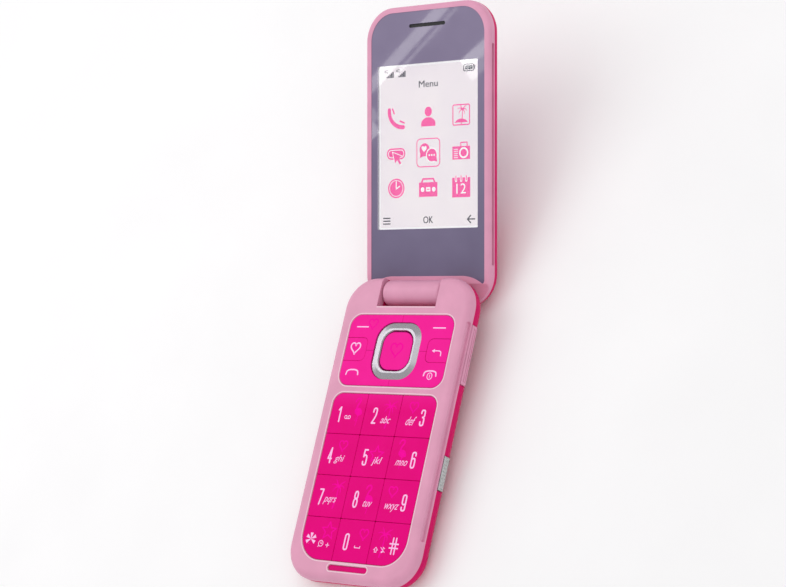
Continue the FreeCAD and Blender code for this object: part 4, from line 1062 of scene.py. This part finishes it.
def screen_words():
    """Signal bars, battery, title and the row of soft-key labels."""
    groups = []
    for start in (-18.4, -13.1):
        for step in range(5):
            left = start + 0.65 * step
            groups.append(bar(left, 76.4, left + 0.5, 76.9 + 0.4 * step))
        groups += text_groups("4G", start - 0.2, 78.7, 1.8, 1.2, weight=0.02)
    groups.append(frame_outline(15.1, 76.6, 19.7, 79.2, 0.6, 0.32))
    groups += [bar(15.8, 77.2, 19.0, 78.6), bar(19.8, 77.3, 20.1, 78.5)]
    groups += text_groups("Menu", 0, 73.4, 8.2, 2.3, weight=0.03)
    for row in range(3):
        groups.append(bar(-19.9, 24.5 + row, -16.7, 24.9 + row))
    groups += text_groups("OK", 0, 25.8, 4.2, 2.4, weight=0.03)
    groups.append(line([(16.9, 25.65), (19.9, 25.65)], 0.4))
    groups.append(line([(18.2, 26.9), (16.9, 25.65), (18.2, 24.4)], 0.4))
    printed("screen_words", LID, "lid", [(SCREEN_DARK, groups)], ICON_LOW, ICON_THICKNESS)


# ---------------------------------------------------------------- stage, lights and camera

# Place of the camera in base millimetres, and its two main directions.
CAMERA_PLACE = Vector((428.17, -198.16, 532.3))
CAMERA_FORWARD = Vector((-0.6115, 0.2761, -0.7415))
CAMERA_UP = Vector((0.0008, 0.9374, 0.3483))
CAMERA_LENS = 93.9

# The cards mirrored in the window stand this many times as far from the mirrored camera as the window does.
CARD_FACTOR = 1.64

RING_CENTRE = Vector((0, -22.65, 4.9))
STRIP_DISTANCE = 700
WORLD_STRENGTH = 0.74
FLOOR_HALF = 3.0


def make_floor():
    """Pale floor, faintly uneven in tone."""
    corners = [(-FLOOR_HALF, -FLOOR_HALF, 0), (FLOOR_HALF, -FLOOR_HALF, 0)]
    corners += [(FLOOR_HALF, FLOOR_HALF, 0), (-FLOOR_HALF, FLOOR_HALF, 0)]
    data = bpy.data.meshes.new("floor")
    data.from_pydata(corners, [], [(0, 1, 2, 3)])
    floor = bpy.data.objects.new("floor", data)
    bpy.context.scene.collection.objects.link(floor)
    finish = Finish("floor_paper")
    finish.colour(finish.noise(60.0, 3.0), linear(251, 250, 251), linear(254, 253, 254))
    finish.roughness(finish.noise(20.0), 0.6, 0.7)
    data.materials.append(finish.material)


def area_light(name, width, height, power):
    """Rectangular area light, its sides in millimetres."""
    data = bpy.data.lights.new(name, "AREA")
    data.shape = "RECTANGLE"
    data.size = width * MM
    data.size_y = height * MM
    data.energy = power
    lamp = bpy.data.objects.new(name, data)
    bpy.context.scene.collection.objects.link(lamp)
    return lamp


def power_of(radiance, width, height):
    """Power that gives an area light of this size a radiance."""
    return radiance * math.pi * (width * MM) * (height * MM)


def soft_box(name, position, target, width, height, power):
    """Area light at a position in base millimetres, facing a target."""
    lamp = area_light(name, width, height, power)
    place = BASE @ (Vector(position) * MM)
    away = place - BASE @ (Vector(target) * MM)
    turn = away.to_track_quat("Z", "Y").to_matrix().to_4x4()
    lamp.matrix_world = Matrix.Translation(place) @ turn
    return lamp


def streak(name, start, end, width, radiance):
    """Card that the window mirrors as a band between two points of it, in lid millimetres."""
    to_lid = LID.inverted() @ BASE
    eye = (to_lid @ (CAMERA_PLACE * MM)) / MM
    mirrored_eye = Vector((eye.x, eye.y, 2 * GLASS_TOP - eye.z))
    ends = []
    for point in (start, end):
        on_glass = Vector((*point, GLASS_TOP))
        ends.append(mirrored_eye + CARD_FACTOR * (on_glass - mirrored_eye))
    run = ends[1] - ends[0]
    card_width = width * CARD_FACTOR
    lamp = area_light(name, run.length, card_width, power_of(radiance, run.length, card_width))
    turn = Matrix.Rotation(math.atan2(run.y, run.x), 4, "Z")
    lamp.matrix_world = LID @ Matrix.Translation((ends[0] + ends[1]) / 2 * MM) @ turn


def streaks():
    """Slanting bands in the window."""
    streak("streak_bright", (-28.0, 71.4), (8.0, 100.6), 4.6, 3.4)
    streak("streak_thin", (-14.0, 77.0), (13.0, 98.9), 1.2, 2.4)
    streak("streak_corner", (15.5, 78.4), (33.4, 90.3), 4.6, 4.6)
    streak("streak_corner_soft", (18.0, 74.6), (36.0, 86.5), 4.0, 2.2)
    streak("streak_left", (-33.4, 51.8), (-22.2, 59.3), 5.0, 4.4)
    streak("streak_left_soft", (-36.0, 55.6), (-22.6, 64.6), 5.0, 2.2)


def ring_lights():
    """Strips, seen only in reflections, that brighten the ring's slopes and its top."""
    strips = (("left", (-0.886, 0.276, 0.368), 330, 150, 1.9),
              ("right", (-0.196, 0.276, 0.94), 240, 150, 1.2),
              ("flat", (-0.61, 0.276, 0.742), 150, 150, 2.4))
    for name, direction, width, height, radiance in strips:
        position = RING_CENTRE + Vector(direction) * STRIP_DISTANCE
        power = power_of(radiance, width, height)
        lamp = soft_box("strip_" + name, position, RING_CENTRE, width, height, power)
        lamp.visible_diffuse = False


def make_lights():
    """White surroundings, three soft boxes and the lights that are there to be mirrored."""
    world = bpy.data.worlds.new("studio")
    world.use_nodes = True
    background = world.node_tree.nodes["Background"]
    background.inputs["Color"].default_value = (1.0, 1.0, 1.0, 1.0)
    background.inputs["Strength"].default_value = WORLD_STRENGTH
    bpy.context.scene.world = world
    lamps = [soft_box("key_light", (-420, 60, 620), (0, 0, 0), 560, 560, 1.15),
             soft_box("top_light", (60, 420, 560), (0, 20, 0), 500, 360, 0.55),
             soft_box("fill_light", (360, -420, 420), (0, 0, 0), 520, 420, 0.25)]
    for lamp in lamps:
        lamp.visible_glossy = False
    ring_lights()
    streaks()


def make_camera():
    """Camera at the front right, above the keypad."""
    forward = CAMERA_FORWARD.normalized()
    side = forward.cross(CAMERA_UP).normalized()
    upward = side.cross(forward)
    axes = Matrix((side, upward, -forward)).transposed().to_4x4()
    data = bpy.data.cameras.new("camera")
    data.lens = CAMERA_LENS
    data.sensor_width = 36.0
    data.clip_start = 0.01
    camera = bpy.data.objects.new("camera", data)
    bpy.context.scene.collection.objects.link(camera)
    camera.matrix_world = BASE @ Matrix.Translation(CAMERA_PLACE * MM) @ axes
    bpy.context.scene.camera = camera


def build():
    make_camera()
    make_lights()
    make_floor()
    make_window_border()
    make_window_pane()
    make_screen()
    for draw_icon in ICONS:
        draw_icon()
    screen_words()
    print_number_keys()
    print_function_keys()
    print_motifs()
    print_painted_highlights()
    bpy.context.scene.view_settings.view_transform = "Standard"


build()

bpy.context.view_layer.update()
